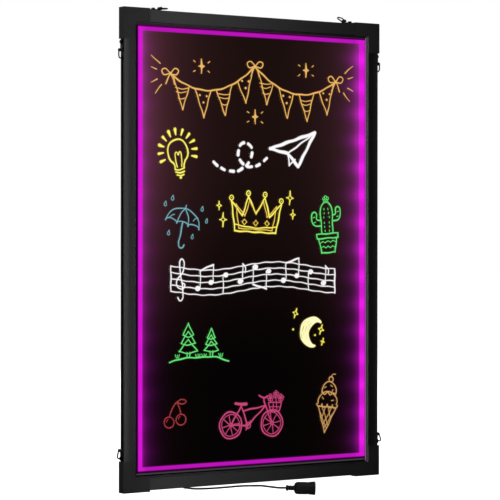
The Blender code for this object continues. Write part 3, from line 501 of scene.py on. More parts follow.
def panel_material():
    """Clear acrylic with the faint smudges of a wiped board."""
    g = Graph("clear_acrylic")
    g.set(
        Base_Color=(0.97, 0.97, 0.97, 1.0),
        Roughness=g.span(g.step(g.noise("smudges", 0.6), 0.4, 0.75), 0.02, 0.09),
        Transmission_Weight=1.0,
        IOR=1.49,
    )
    return g.material


def inside_share(g, distances, insets):
    """1 inside the rectangle that lies inset from the lips, 0 outside it, with soft edges."""
    softness = STRIP_SOFTNESS
    return g.times(
        *(g.step(distances[side], inset - softness, inset + softness) for side, inset in insets.items())
    )


def spot_share(g):
    """Near 1 beside each LED chip, and 0 half way between two chips."""
    turn = g.math("MULTIPLY", g.math("SUBTRACT", g.z, SPOT_MIDDLE), 2 * math.pi / SPOT_PITCH)
    return g.math("POWER", g.span(g.math("COSINE", turn), 0.5, 1.0), SPOT_SHARPNESS)


def painted_haze_colour(g, distances):
    """Painted light that leaks from the long edges over the backing, and the dim painted warm sheen above."""
    rise = g.step(g.z, HAZE_LOW, HAZE_HIGH)
    spots = spot_share(g)
    near = 0.0
    far = 0.0
    for side in ("left", "right"):
        beyond = g.math("MAXIMUM", g.math("SUBTRACT", distances[side], STRIP_END[side]), 0.0)
        bulge = g.span(spots, 1 - HAZE_SPOT_SHARES[side], 1 + HAZE_SPOT_SHARES[side])
        near_level = g.times(g.span(rise, *HAZE_NEAR_LEVELS[side]), bulge)
        edge = g.times(g.fade(beyond, HAZE_EDGE_REACH), HAZE_EDGE_LEVELS[side])
        near = g.add(near, g.times(g.fade(beyond, HAZE_NEAR_REACH), near_level), edge)
        far = g.add(far, g.times(g.fade(beyond, HAZE_FAR_REACH), g.span(rise, *HAZE_FAR_LEVELS[side])))
    warm = g.times(g.span(rise, *HAZE_WARM_LEVELS), g.span(g.noise("haze_cloud"), *HAZE_CLOUD_SHARES))
    tints = zip(HAZE_NEAR_TINT, HAZE_FAR_TINT, HAZE_WARM_TINT)
    return g.colour([g.add(g.times(near, a), g.times(far, b), g.times(warm, c)) for a, b, c in tints])


def backing_material():
    """Hard black sheet: the painted haze of light on its front, and a fine grain and rubbed clouds behind."""
    g = Graph("backing_sheet")
    front = g.front_share()
    clouds = g.add(g.times(g.noise("rear_cloud"), 0.7), g.times(g.noise("rear_grain"), 0.3))
    rear_colour = g.mix(g.step(clouds, 0.35, 0.65), (0.020, 0.020, 0.021), (0.034, 0.034, 0.035))
    g.set(
        Base_Color=g.mix(front, rear_colour, (0.0012, 0.001, 0.001)),
        Roughness=g.span(front, 0.6, 0.9),
        Specular_IOR_Level=0.1,
        # Painted haze of light, given as emission on the front
        Emission_Color=painted_haze_colour(g, g.inward_distances()),
        Emission_Strength=front,
    )
    return g.material


def painted_margin_reflections(g, distances):
    """Thin painted reflections in the unlit margin, along three of its sides."""
    total = BLACK
    for side, (middle, half_width, colour) in PAINTED_MARGIN_REFLECTIONS.items():
        off = g.math("ABSOLUTE", g.math("SUBTRACT", distances[side], middle))
        ends = [
            g.step(distances[other], middle - half_width, middle + half_width)
            for other in distances
            if other != side
        ]
        share = g.times(g.step(off, half_width, MARGIN_REFLECTION_CORE_SHARE * half_width), *ends)
        total = g.mix(1.0, total, g.mix(share, BLACK, colour), "ADD")
    return total


def band_material():
    """Frosted strip that glows magenta, brightest beside the LED chips, with an unlit margin that holds
    painted reflections, and the painted haze inside the strip.
    """
    g = Graph("light_band")
    distances = g.inward_distances()
    inner = inside_share(g, distances, STRIP_END)
    outside_inner = g.math("SUBTRACT", 1.0, inner)
    level = g.span(g.noise("strip_cloud"), *STRIP_LEVELS)
    for side in ("left", "right"):
        near_side = g.step(distances[side], *STRIP_SIDE_DEPTHS)
        boost = g.add(STRIP_SIDE_LEVEL[side], g.times(spot_share(g), SPOT_LEVEL[side]))
        level = g.add(level, g.times(near_side, boost))
    farthest = 0.0
    for side, distance in distances.items():
        farthest = g.math("MAXIMUM", farthest, g.math("SUBTRACT", STRIP_START[side], distance))
    lit = g.times(inside_share(g, distances, STRIP_START), level)
    soft = g.times(g.fade(farthest, MARGIN_GLOW_REACH), MARGIN_GLOW_LEVEL)
    magenta = g.tinted(g.times(g.add(lit, soft), outside_inner), STRIP_TINT)
    glow = g.mix(1.0, magenta, g.mix(inner, BLACK, painted_haze_colour(g, distances)), "ADD")
    g.set(
        Base_Color=g.mix(g.noise("band_cloud"), (0.004, 0.004, 0.004), (0.007, 0.006, 0.007)),
        Roughness=0.6,
        Specular_IOR_Level=0.1,
        Emission_Color=g.mix(1.0, glow, painted_margin_reflections(g, distances), "ADD"),
        Emission_Strength=g.front_share(),
    )
    return g.material


def seal_material():
    """Black rubber with a dry, dusty bloom, and the glow on the right painted onto it."""
    g = Graph("rubber_seal")
    dust = g.noise("dust")
    low, high = (LIP_X - inset for inset in SEAL_PAINTED_GLOW_INSETS)
    # Painted glow from the band on the seal's right-hand side
    lit = g.times(g.step(g.x, low, high), g.front_share())
    level = g.add(g.span(dust, *SEAL_TONES), g.times(lit, SEAL_PAINTED_GLOW_TONE))
    g.set(
        Base_Color=g.colour([level, level, level]),
        Roughness=g.span(dust, 0.7, 0.85),
        Normal=g.bump(dust, DUST_DEPTH, 0.4),
    )
    return g.material


def cord_material():
    """Black PVC jacket: fine drag marks and a soft sheen."""
    g = Graph("cord_jacket")
    marks = g.noise("jacket_marks")
    tone = g.times(g.span(g.noise("jacket_cloud"), 0.8, 1.25), CORD_TONE)
    g.set(
        Base_Color=g.tinted(tone, RAIL_TINT),
        Roughness=g.span(marks, 0.32, 0.5),
        Normal=g.bump(marks, LINE_DEPTH, 0.4),
    )
    return g.material


def lead_material():
    """Thin inner wires with a red insulation."""
    g = Graph("wire_insulation")
    cloud = g.noise("lead_cloud")
    g.set(
        Base_Color=g.mix(cloud, (0.30, 0.012, 0.010), (0.42, 0.025, 0.018)),
        Roughness=g.span(cloud, 0.35, 0.5),
    )
    return g.material


def ribbon_material():
    """White solder mask with chips that shine magenta."""
    g = Graph("led_ribbon")
    g.set(
        Base_Color=g.mix(g.noise("mask_cloud"), (0.62, 0.60, 0.57), (0.75, 0.74, 0.71)),
        Roughness=0.45,
        Emission_Color=(0.9, 0.02, 0.9, 1.0),
        Emission_Strength=g.times(g.step(spot_share(g), *CHIP_SPOT_SHARES), CHIP_LEVEL),
    )
    return g.material


def linear(colour):
    """Linear colour of a screen colour from 0 to 255."""
    shares = (part / 255 for part in colour)
    return tuple(((s + 0.055) / 1.055) ** 2.4 if s > 0.04045 else s / 12.92 for s in shares)


def ink_material(name):
    """Marker ink with its glow painted on: pale in the middle of a line, deeper at its edges, with a faint
    painted rim of light.
    """
    core, rim = (linear(colour) for colour in INKS[name])
    g = Graph("ink_" + name)
    across = g.new("Attribute", attribute_name="across").outputs["Fac"]
    patches = g.times(g.step(g.noise("ink_patches"), 0.5, 0.75), 0.35)
    # Painted glow: the ink's light is emission, and its rim is a fading halo of painted glow
    fall = g.math("POWER", g.math("SUBTRACT", 2.0, across, clamp=True), 2.0)
    g.set(
        Base_Color=(0.01, 0.01, 0.01, 1.0),
        Roughness=0.5,
        Emission_Color=g.mix(g.math("MAXIMUM", g.step(across, 0.45, 1.05), patches), core, rim),
        Emission_Strength=1.0,
        Alpha=g.math("MAXIMUM", g.step(across, 1.12, 0.96), g.times(fall, INK_GLOW_RIM_ALPHA)),
    )
    return g.material


def floor_material():
    """Floor that is white all over, as in a cut-out studio picture."""
    g = Graph("white_floor")
    level = g.span(g.noise("floor_cloud"), *FLOOR_TONES)
    g.set(
        Base_Color=g.colour([level, level, level]),
        Roughness=0.9,
        Emission_Color=WHITE,
        Emission_Strength=FLOOR_LEVEL,
    )
    return g.material


def dress_nodes(cord, band):
    """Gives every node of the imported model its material, by the start of its name."""
    looks = {
        ("rail_left", "rail_right"): rail_material("rail_upright", "upright_lines"),
        ("rail_top", "rail_bottom"): rail_material("rail_level", "level_lines"),
        ("corner_cap",): plastic_material("cap_plastic"),
        ("corner_key",): metal_material("key_steel"),
        ("cap_screw",): metal_material("screw_steel"),
        ("glazing_seal", "cord_grommet"): seal_material(),
        ("writing_panel",): panel_material(),
        ("light_band",): band,
        ("backing_panel",): backing_material(),
        ("led_strip",): ribbon_material(),
        ("feed_lead",): lead_material(),
        ("pigtail_cord", "connector_boot"): cord,
        ("connector_shell", "connector_insert"): plastic_material("connector_plastic"),
        ("connector_contact",): metal_material("contact_brass"),
        ("hanger_strap", "hanger_screw", "hanger_ring"): metal_material("hanger_steel"),
        ("hanger_nut",): metal_material("nut_steel"),
    }
    for name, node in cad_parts.items():
        look = next(look for starts, look in looks.items() if name.startswith(starts))
        node.data.materials.clear()
        node.data.materials.append(look)


# Pieces that are built here


def add_object(name, data):
    """A new object in the scene."""
    item = bpy.data.objects.new(name, data)
    bpy.context.scene.collection.objects.link(item)
    return item


def add_mesh(name, bm, material):
    """A new object in the scene from a finished mesh, with one material."""
    mesh = bpy.data.meshes.new(name)
    bm.to_mesh(mesh)
    bm.free()
    mesh.materials.append(material)
    return add_object(name, mesh)


def smooth_route(points, steps):
    """Points on a Catmull-Rom curve through the given ones, some steps to each."""
    last = len(points) - 1
    route = []
    for index in range(last):
        a, b, c, d = (Vector(points[min(max(index + shift, 0), last)]) for shift in (-1, 0, 1, 2))
        slope = c - a
        bend = 2 * a - 5 * b + 4 * c - d
        twist = 3 * b - a - 3 * c + d
        for step in range(steps):
            t = step / steps
            route.append(0.5 * (2 * b + slope * t + bend * t**2 + twist * t**3))
    return route + [Vector(points[-1])]


def make_cord(material):
    """The cord on the ground, one smooth curve from the outlet to the connector's boot."""
    route = smooth_route(CORD_ROUTE, CORD_STEPS_PER_POINT)
    curve = bpy.data.curves.new("cord", "CURVE")
    curve.dimensions = "3D"
    curve.bevel_depth = CORD_RADIUS
    curve.bevel_resolution = CORD_SIDES
    curve.use_fill_caps = True
    spline = curve.splines.new("POLY")
    spline.points.add(len(route) - 1)
    for point, place in zip(spline.points, route):
        point.co = (*place, 1.0)
    curve.materials.append(material)
    cord = add_object("cord", curve)
    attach(cord, "board")
    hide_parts("pigtail_cord")


def make_band(material):
    """The band as one flat frame with eased edges, as wide as its glow reaches."""
    low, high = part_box("light_band")
    inner_x = LIP_X - BAND_REVEAL
    outer = ((low[0], low[2]), (high[0], high[2]))
    inner = ((-inner_x, LIP_BOTTOM + BAND_REVEAL), (inner_x, LIP_TOP - BAND_REVEAL))
    bm = bmesh.new()
    rings = []
    for depth in (low[1], high[1]):
        for (x0, z0), (x1, z1) in (outer, inner):
            corners = ((x0, z0), (x1, z0), (x1, z1), (x0, z1))
            rings.append([bm.verts.new((x, depth, z)) for x, z in corners])
    front_outer, front_inner, rear_outer, rear_inner = rings
    rings_in_turn = [front_outer, front_inner, rear_inner, rear_outer]
    for first, second in zip(rings_in_turn, rings_in_turn[1:] + rings_in_turn[:1]):
        for index in range(4):
            following = (index + 1) % 4
            bm.faces.new((first[index], first[following], second[following], second[index]))
    bmesh.ops.recalc_face_normals(bm, faces=bm.faces)
    band = add_mesh("glow_band", bm, material)
    bevel = band.modifiers.new("eased_edges", "BEVEL")
    bevel.width = BAND_CHAMFER
    bevel.segments = 2
    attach(band, "board")
    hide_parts("light_band")


# Marker drawings


def evenly(route, step):
    """The route again, with its points about a step apart."""
    lengths = [(b - a).length for a, b in zip(route, route[1:])]
    count = max(1, round(sum(lengths) / step))
    gap = sum(lengths) / count
    points = [route[0]]
    passed = 0.0
    for start, end, length in zip(route, route[1:], lengths):
        while len(points) < count and passed + length >= len(points) * gap:
            points.append(start.lerp(end, (len(points) * gap - passed) / length))
        passed += length
    return points + [route[-1]]


def rightward(direction):
    return Vector((direction.y, -direction.x))


class Drawing:
    """One marker drawing on the panel. Its places and sizes are hundredths of its height, from its middle."""

    def __init__(self, name):
        self.ink, across, up, height, tilt = DRAWINGS[name]
        self.name = "drawing_" + name
        self.middle = Vector((across, up))
        self.unit = height * HUNDREDTH
        self.turn = Matrix.Rotation(math.radians(tilt), 2)
        self.mesh = bmesh.new()
        self.across = self.mesh.verts.layers.float.new("across")
        self.random = random.Random(self.name)
        self.strokes = 0

    def place(self, point):
        return self.middle + self.turn @ Vector(point) * self.unit

    def swing(self, count, length):
        """A sine from point to point, with one turn in the given length and a start drawn at random."""
        phase = self.random.uniform(0, 2 * math.pi)
        turn_per_step = 2 * math.pi * INK_POINT_STEP / length
        return [math.sin(phase + index * turn_per_step) for index in range(count)]

    def add_point(self, point, across):
        rise = INK_CROWN * max(0.0, 1 - across**2)
        depth = PANEL_FRONT - INK_GAP - self.strokes * INK_LAYER_STEP - rise
        vertex = self.mesh.verts.new((point.x, depth, point.y))
        vertex[self.across] = across
        return vertex

    def spokes(self, rights):
        """Directions all round a stroke, each with the number of the point it leaves."""
        last = len(rights) - 1
        turns = [Matrix.Rotation(math.pi * step / INK_CAP_STEPS, 2) for step in range(1, INK_CAP_STEPS)]
        return (
            [(index, right) for index, right in enumerate(rights)]
            + [(last, turn @ rights[last]) for turn in turns]
            + [(index, -rights[index]) for index in range(last, -1, -1)]
            + [(0, turn @ -rights[0]) for turn in turns]
        )

    def stroke(self, route, pen, widths=(1.0, 1.0)):
        """A round-ended line of ink, unsteady as a hand draws it, with a crown and a soft rim of painted glow
        round it.
        """
        path = evenly(route, INK_POINT_STEP)
        last = len(path) - 1
        rights = [
            rightward((path[min(index + 1, last)] - path[max(index - 1, 0)]).normalized())
            for index in range(last + 1)
        ]
        sways = self.swing(last + 1, INK_WOBBLE_LENGTH)
        path = [point + right * INK_WOBBLE * sway for point, right, sway in zip(path, rights, sways)]
        start, end = widths
        halves = [
            pen * (start + (end - start) * index / last) * (1 + INK_WIDTH_VARIATION_SHARE * swell)
            for index, swell in enumerate(self.swing(last + 1, INK_WIDTH_LENGTH))
        ]
        middles = [self.add_point(point, 0.0) for point in path]
        fans = []
        for index, direction in self.spokes(rights):
            fan = [middles[index]]
            for across in INK_ACROSS_SHARES[1:]:
                reach = halves[index] * min(across, 1.0) + INK_GLOW_RIM * max(across - 1.0, 0.0)
                fan.append(self.add_point(path[index] + direction * reach, across))
            fans.append(fan)
        for fan, following in zip(fans, fans[1:] + fans[:1]):
            for near, far, next_near, next_far in zip(fan, fan[1:], following, following[1:]):
                corners = [near, far, next_far] + ([next_near] if next_near is not near else [])
                self.mesh.faces.new(corners)
        self.strokes += 1

    def trace(self, points, pen=THIN, widths=(1.0, 1.0)):
        """One stroke from point to point."""
        self.stroke([self.place(point) for point in points], pen, widths)

    def curve(self, points, pen=THIN):
        self.trace(smooth_route(points, INK_CURVE_STEPS), pen)

    def lines(self, points, pen=THIN, closed=False):
        """Straight strokes from point to point, each drawn on its own."""
        ends = points[1:] + (points[:1] if closed else [])
        for line in zip(points, ends):
            self.trace(line, pen)

    def arc(self, middle, radii, start, end, pen=THIN):
        steps = max(2, round(abs(end - start) / INK_ARC_STEP_DEGREES))
        turns = [start + (end - start) * step / steps for step in range(steps + 1)]
        self.trace([on_oval(middle, radii, degrees) for degrees in turns], pen)

    def ring(self, middle, radii, pen=THIN):
        """A closed round line, whose ends meet a little past each other."""
        start = self.random.uniform(0, 360)
        self.arc(middle, radii, start, start + 360 + INK_ARC_OVERLAP_DEGREES, pen)

    def dot(self, middle, radius):
        place = self.place(middle)
        self.stroke([place, place + Vector((INK_DOT_LENGTH, 0.0))], radius * self.unit)

    def dashes(self, points, count, ink_share, pen):
        route = evenly([self.place(point) for point in smooth_route(points, INK_CURVE_STEPS)], INK_POINT_STEP)
        for index in range(count):
            start = round(index / count * len(route))
            end = round((index + ink_share) / count * len(route))
            self.stroke(route[start : max(end, start + 2)], pen)

    def sparkle(self, middle, height, width):
        """A four-pointed star, as four hollow curves between its points."""
        tips = around(middle, [(0, height), (width, 0), (0, -height), (-width, 0)])
        for tip, following in zip(tips, tips[1:] + tips[:1]):
            corner = [a + b - centre for centre, a, b in zip(middle, tip, following)]
            self.curve([tip, between(middle, corner, SPARKLE_HOLLOW_SHARE), following], FINE)

    def finish(self, inks):
        """Leaves the drawing on the panel as one piece that moves with the board."""
        piece = add_mesh(self.name, self.mesh, inks[self.ink])
        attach(piece, "board")


def around(middle, offsets, side=1):
    """Points at the offsets from a middle, mirrored from left to right where side is -1."""
    return [(middle[0] + side * right, middle[1] + up) for right, up in offsets]


def between(start, end, share):
    return tuple(a + (b - a) * share for a, b in zip(start, end))


def on_oval(middle, radii, degrees):
    angle = math.radians(degrees)
    return middle[0] + radii[0] * math.cos(angle), middle[1] + radii[1] * math.sin(angle)


def ray(middle, reaches, degrees):
    """The two ends of a line that points away from a middle."""
    return [on_oval(middle, (reach, reach), degrees) for reach in reaches]


def hanging_point(ends, dip, share):
    """A point on a cord that sags between its ends."""
    x, y = between(*ends, share)
    return x, y - 4 * dip * share * (1 - share)


def draw_garland(d):
    """Bunting on two sagging cords, with bows where it hangs, and sparkles and short rays round it."""
    hooks = [(-160, 28), (0, 46), (160, 28)]
    dip, pennants, edge_shares, drop, tip_shift = 32, 4, (0.15, 0.89), 44, 2
    spots, spot_radius = [(-6, -9), (7, -10), (1, -20)], 1.8
    stripe_depths, stripe_reach, stripe_sag = (10, 16, 26), 14.5, 2
    bow_loop, bow_tail = [(0, 0), (8, 8), (15, 5), (11, -2), (0, 0)], [(0, 0), (4.5, -7), (8, -16)]
    knot_radius = 2.6
    sparkle_height, sparkle_width, sparkle_shares = 11, 5, (1.0, 0.7, 0.4, 0.1)
    sparkle_rays = ([(12, 6), (15, 8)], [(12, -7), (15, -9)])
    ray_width_shares = (1.0, 0.45)
    end_rays = ((38, (24, 44)), (14, (26, 36)), (-22, (26, 38)), (-48, (24, 42)))
    for ends in zip(hooks, hooks[1:]):
        d.curve([hanging_point(ends, dip, step / 12) for step in range(13)], MEDIUM)
        for index in range(pennants):
            left, right = (hanging_point(ends, dip, (index + share) / pennants) for share in edge_shares)
            middle = between(left, right, 0.5)
            d.lines([left, *around(middle, [(tip_shift, -drop)]), right])
            if index % 2:
                for spot in around(middle, spots):
                    d.dot(spot, spot_radius)
            else:
                for depth in stripe_depths:
                    reach = stripe_reach * (1 - depth / drop)
                    stripe = [(-reach, -depth), (0, -depth - stripe_sag), (reach, -depth)]
                    d.curve(around(middle, stripe), FINE)
    for hook in hooks:
        for side in (-1, 1):
            d.curve(around(hook, bow_loop, side))
            d.curve(around(hook, bow_tail, side))
        d.dot(hook, knot_radius)
    for middle in ((-102, 42), (100, 44), (0, -34)):
        for share in sparkle_shares:
            d.sparkle(middle, sparkle_height * share, sparkle_width * share)
        for side in (-1, 1):
            for line in sparkle_rays:
                d.lines(around(middle, line, side), FINE)
    for side, hook in ((-1, hooks[0]), (1, hooks[-1])):
        for degrees, reaches in end_rays:
            d.trace(around(hook, ray(CENTRE, reaches, degrees), side), widths=ray_width_shares)


def draw_bulb(d):
    """Light bulb with a ring of drop-shaped rays."""
    middle, radii = (0, 8), (24, 25)
    neck = [(15, -12), (11, -18), (10, -25)]
    threads, thread_sag = ((-27, 11), (-33, 10), (-39, 8)), 1
    foot, foot_radius = (0, -44), 2.5
    filament = [(-5, -22), (-8, 2), (-3, 8), (0, 0), (4, 8), (8, 2), (5, -22)]
    ray_reaches, ray_width_shares = (34, 45), (0.8, 2.1)
    d.arc(middle, radii, -52, 232, MEDIUM)
    for side in (-1, 1):
        d.curve(around(CENTRE, neck, side), MEDIUM)
    for level, reach in threads:
        thread = [(-reach, thread_sag), (0, -thread_sag), (reach, thread_sag)]
        d.curve(around((0, level), thread), MEDIUM)
    d.dot(foot, foot_radius)
    d.curve(filament)
    for degrees in range(-20, 201, 22):
        d.trace(ray(middle, ray_reaches, degrees), MEDIUM, ray_width_shares)


def draw_plane(d):
    """Folded paper plane with the dashed trail of its loop."""
    left_tip, nose, keel = (-85, 12), (85, 46), (12, -50)
    fold, tail, belly = (-22, -8), (-20, -44), (2, -28)
    dash_count, ink_share = 13, 0.58
    trail = [(-100, -16), (-130, -32), (-170, -34), (-200, -8), (-194, 28), (-168, 36)]
    trail += [(-150, 12), (-166, -22), (-210, -44), (-260, -34), (-300, -2)]
    d.lines([left_tip, nose, keel, fold], THICK, closed=True)
    d.lines([fold, nose], MEDIUM)
    d.lines([fold, tail, belly], MEDIUM)
    d.dashes(trail, dash_count, ink_share, THICK)


def draw_umbrella(d):
    """Open umbrella in a light rain."""
    rim, top_radii, hem_radii = (0, 2), (42, 34), (14, 7)
    hem = [(-28, 0), (0, 0), (28, 0)]
    rib = [(0, 36), (10, 22), (14, 3)]
    tip, stick = [(0, 36), (0, 43)], [(0, 7), (0, -36)]
    handle, handle_radii = (7, -36), (7, 9)
    drop = [(0, 5), (-3, -2), (0, -5), (3, -2), (0, 5)]
    shine = [(0, 0), (5, 6), (10, 8)]
    d.arc(rim, top_radii, 0, 180)
    for middle in around(rim, hem):
        d.arc(middle, hem_radii, 180, 0)
    for side in (-1, 1):
        d.curve(around(CENTRE, rib, side))
    d.lines(tip)
    d.lines(stick, MEDIUM)
    d.arc(handle, handle_radii, 180, 350, MEDIUM)
    for middle in ((-50, 34), (-36, 50), (40, 46), (56, 24), (-28, -22), (30, -16)):
        d.curve(around(middle, drop), FINE)
    for start in ((-34, 10), (24, 16)):
        d.curve(around(start, shine), FINE)


CROWN_PEAKS = [(-66, 24), (-36, -6), (-22, 36), (0, 0), (22, 36), (36, -6), (66, 24)]
CROWN_OUTLINE = CROWN_PEAKS + [(54, -40), (-54, -40)]
CROWN_BEADS = around((0, 7), CROWN_PEAKS[::2])


def draw_crown(d):
    """Crown's outer line, with beads on its points and sparkles beside it."""
    bead_radii = (5, 5.5)
    fold = [(-56, -26), (0, -31), (56, -26)]
    d.lines(CROWN_OUTLINE, MEDIUM, closed=True)
    for bead in CROWN_BEADS:
        d.ring(bead, bead_radii)
    d.curve(fold)
    for sparkle in (((-86, -18), 15, 9), ((-98, 12), 9, 5.5), ((88, 40), 15, 9), ((98, 4), 10, 6)):
        d.sparkle(*sparkle)


def draw_crown_inside(d):
    """Crown's inner line, the middles of its beads, and its gems."""
    middle, size_share, bead_radius = (0, -8), 0.82, 1.8
    gem = [(0, -14), (6, -20), (0, -26.5), (-6, -20)]
    d.lines([between(middle, point, size_share) for point in CROWN_OUTLINE], closed=True)
    for bead in CROWN_BEADS:
        d.dot(bead, bead_radius)
    for place in ((-30, 0), (0, 0), (30, 0)):
        d.lines(around(place, gem), FINE, closed=True)


def draw_cactus(d):
    """Cactus with two arms in a striped pot."""
    body = [(-12, -16), (-13, 10), (-12, 32), (0, 41), (12, 32), (13, 10), (12, -16)]
    left_arm = [(-13, -2), (-26, 0), (-33, 8), (-33, 20), (-27, 24), (-22, 20), (-22, 11), (-13, 9)]
    right_arm = [(13, 6), (25, 8), (31, 16), (31, 28), (25, 31), (21, 27), (20, 19), (13, 17)]
    groove, dash_count, ink_share = [(5, -12), (6, 10), (4, 32)], 6, 0.45
    thorn = [(-2, 0), (2, 1)]
    pot_rim = [(-24, -16), (24, -16), (23, -24), (-23, -24)]
    pot = [(-20, -24), (-15, -50), (15, -50), (20, -24)]
    stripes, stripe_rise = ((-32, 17), (-41, 15)), 3
    flower, petal_place_radius, petal_radii = (0, 46), 4, (2.5, 2.5)
    for outline in (body, left_arm, right_arm):
        d.curve(outline, MEDIUM)
    for side in (-1, 1):
        d.dashes(around(CENTRE, groove, side), dash_count, ink_share, FINE)
    for place in ((-28, 14), (26, 22), (-27, 5), (25, 13)):
        d.lines(around(place, thorn), FINE)
    d.lines(pot_rim, MEDIUM, closed=True)
    d.lines(pot, MEDIUM)
    for level, reach in stripes:
        zigzag = [(reach * (step / 3 - 1), level + stripe_rise * (step % 2)) for step in range(7)]
        d.lines(zigzag, FINE)
    for degrees in range(18, 360, 72):
        petal = on_oval(flower, (petal_place_radius, petal_place_radius), degrees)
        d.ring(petal, petal_radii, FINE)


def draw_staff(d):
    """Waving music staff with a run of notes."""
    end, levels, wave_height, wave_turn, wave_start = 260, (-32, -16, 0, 16, 32), 10, 0.015, 0.6
    clef_x = -228
    clef = [(2, -6), (10, -12), (3, -22), (-12, -18), (-14, -2), (4, 22), (9, 44), (0, 54)]
    clef += [(-6, 36), (2, -10), (5, -42), (-4, -52), (-11, -44)]
    notes = [(-178, -16, 1), (-138, 0, 1), (-92, 16, -1), (-46, -8, 1), (2, 24, -1)]
    notes += [(44, 8, -1), (92, -16, 1), (134, 0, 1), (180, 16, -1), (222, -8, 1)]
    head_radii, head_dot_radius, stem_x, stem_height = (6, 4.5), 3.5, 7.5, 46
    flag = [(0, 0), (9, -10), (8, -22)]

    def wave(x, level):
        return x, level + wave_height * math.sin(wave_turn * x + wave_start)

    for level in levels:
        d.curve([wave(end * (step / 8 - 1), level) for step in range(17)], FINE)
    for x, pen in ((-end, THIN), (end, MEDIUM)):
        d.lines([wave(x, levels[-1]), wave(x, levels[0])], pen)
    d.curve(around(wave(clef_x, 0), clef))
    stem_ends = []
    for x, level, up in notes:
        head = wave(x, level)
        d.arc(head, head_radii, 20, 400, MEDIUM)
        d.dot(head, head_dot_radius)
        stem = around(head, [(up * stem_x, 0), (up * stem_x, up * stem_height)])
        stem_ends.append(stem[1])
        d.lines(stem, FINE)
    for first, second in ((0, 1), (4, 5), (6, 7)):
        d.lines([stem_ends[first], stem_ends[second]], MEDIUM)
    for index in (3, 9):
        d.curve(around(stem_ends[index], flag))


def draw_trees(d):
    """Two pine trees on a hill."""
    tiers, tier_height, tier_sag = ((6, 27), (26, 21), (46, 15)), 29, 5
    trunk = [(4, 3), (4, -10)]
    hill = [(-85, -46), (-45, -37), (5, -36), (50, -36), (90, -48)]
    grass_foot, grass_tip, grass_spread_share = -36, -28, 2.2
    for x, foot, size in ((-30, -26, 1.0), (38, -24, 0.78)):
        for level, reach in tiers:
            tier = [(-reach, level), (0, level + tier_height), (reach, level), (0, level - tier_sag)]
            left, top, right, sag = around((x, foot), [(across * size, up * size) for across, up in tier])
            d.lines([left, top, right])
            d.curve([left, sag, right])
        for side in (-1, 1):
            d.lines(around((x, foot), trunk, side))
    d.curve(hill, MEDIUM)
    for x in (-62, -2, 16, 66):
        for lean in (-3, 0, 3):
            d.lines([(x + lean, grass_foot), (x + lean * grass_spread_share, grass_tip)], FINE)


def draw_moon(d):
    """Solid crescent moon, filled by arcs side by side."""
    layers, outer, inner = 7, ((2, 0), (42, 42)), ((18, 0), (29, 35))
    for layer in range(layers):
        share = layer / (layers - 1)
        middle, radii = (between(first, last, share) for first, last in zip(outer, inner))
        d.arc(middle, radii, 66 + 14 * share, 294 - 14 * share, MEDIUM)


def draw_moon_sparkles(d):
    """Sparkles and dots beside the moon."""
    dot_radius = 2.8
    for sparkle in (((30, 16), 14, 9), ((46, -16), 10, 6), ((-72, 34), 14, 8.5)):
        d.sparkle(*sparkle)
    for dot in ((14, -6), (-66, -12)):
        d.dot(dot, dot_radius)


def draw_cherries(d):
    """Pair of cherries with a leaf."""
    radii, shine_radii = (20, 20), (12, 12)
    stems = ([(-22, -8), (-12, 20), (8, 42)], [(24, 0), (20, 22), (8, 42)])
    leaf = [(8, 42), (26, 52), (48, 44), (30, 34), (8, 42)]
    for middle in ((-24, -28), (26, -20)):
        d.ring(middle, radii)
        d.arc(middle, shine_radii, 110, 170, FINE)
    for line in (*stems, leaf):
        d.curve(line)


def draw_bicycle(d):
    """Bicycle with flowers in its basket."""
    rear, front, pedals, pedal_radii = (-50, -22), (52, -22), (-8, -24), (6, 6)
    wheel, spoke_reaches = ((27, MEDIUM), (22, FINE), (3.5, THIN)), (5, 21)
    seat, head, seat_tube = (-24, 16), (36, 14), (-20, 6)
    fork, handlebar = [front, (42, 0), (34, 20), (32, 30)], [(20, 36), (26, 32), (34, 30), (40, 34)]
    saddle, crank = [(-38, 22), (-24, 19), (-12, 20)], [(-12, -33), (-2, -15)]
    basket = [(44, 20), (76, 20), (70, 2), (48, 2)]
    weave = ([(46, 11), (73, 11)], [(55, 19), (55, 3)], [(64, 19), (64, 3)])
    stalk_top, stalk_foot, flower_radius, petal_place_radii, petal_radii = 5, 21, 1.8, (5, 5), (2.8, 2.8)
    for middle in (rear, front):
        for radius, pen in wheel:
            d.ring(middle, (radius, radius), pen)
        for degrees in range(10, 360, 45):
            d.lines(ray(middle, spoke_reaches, degrees), FINE)
    d.lines([rear, seat, pedals], MEDIUM, closed=True)
    d.lines([pedals, head, seat_tube], MEDIUM)
    d.curve(fork, MEDIUM)
    d.curve(handlebar, MEDIUM)
    d.curve(saddle, THICK)
    d.ring(pedals, pedal_radii)
    d.lines(crank)
    d.lines(basket, closed=True)
    for line in weave:
        d.lines(line, FINE)
    for x, y in ((48, 30), (62, 36), (74, 29)):
        d.lines([(x, y - stalk_top), (x, stalk_foot)], FINE)
        d.dot((x, y), flower_radius)
        for degrees in range(90, 450, 72):
            d.arc(on_oval((x, y), petal_place_radii, degrees), petal_radii, 0, 360, FINE)


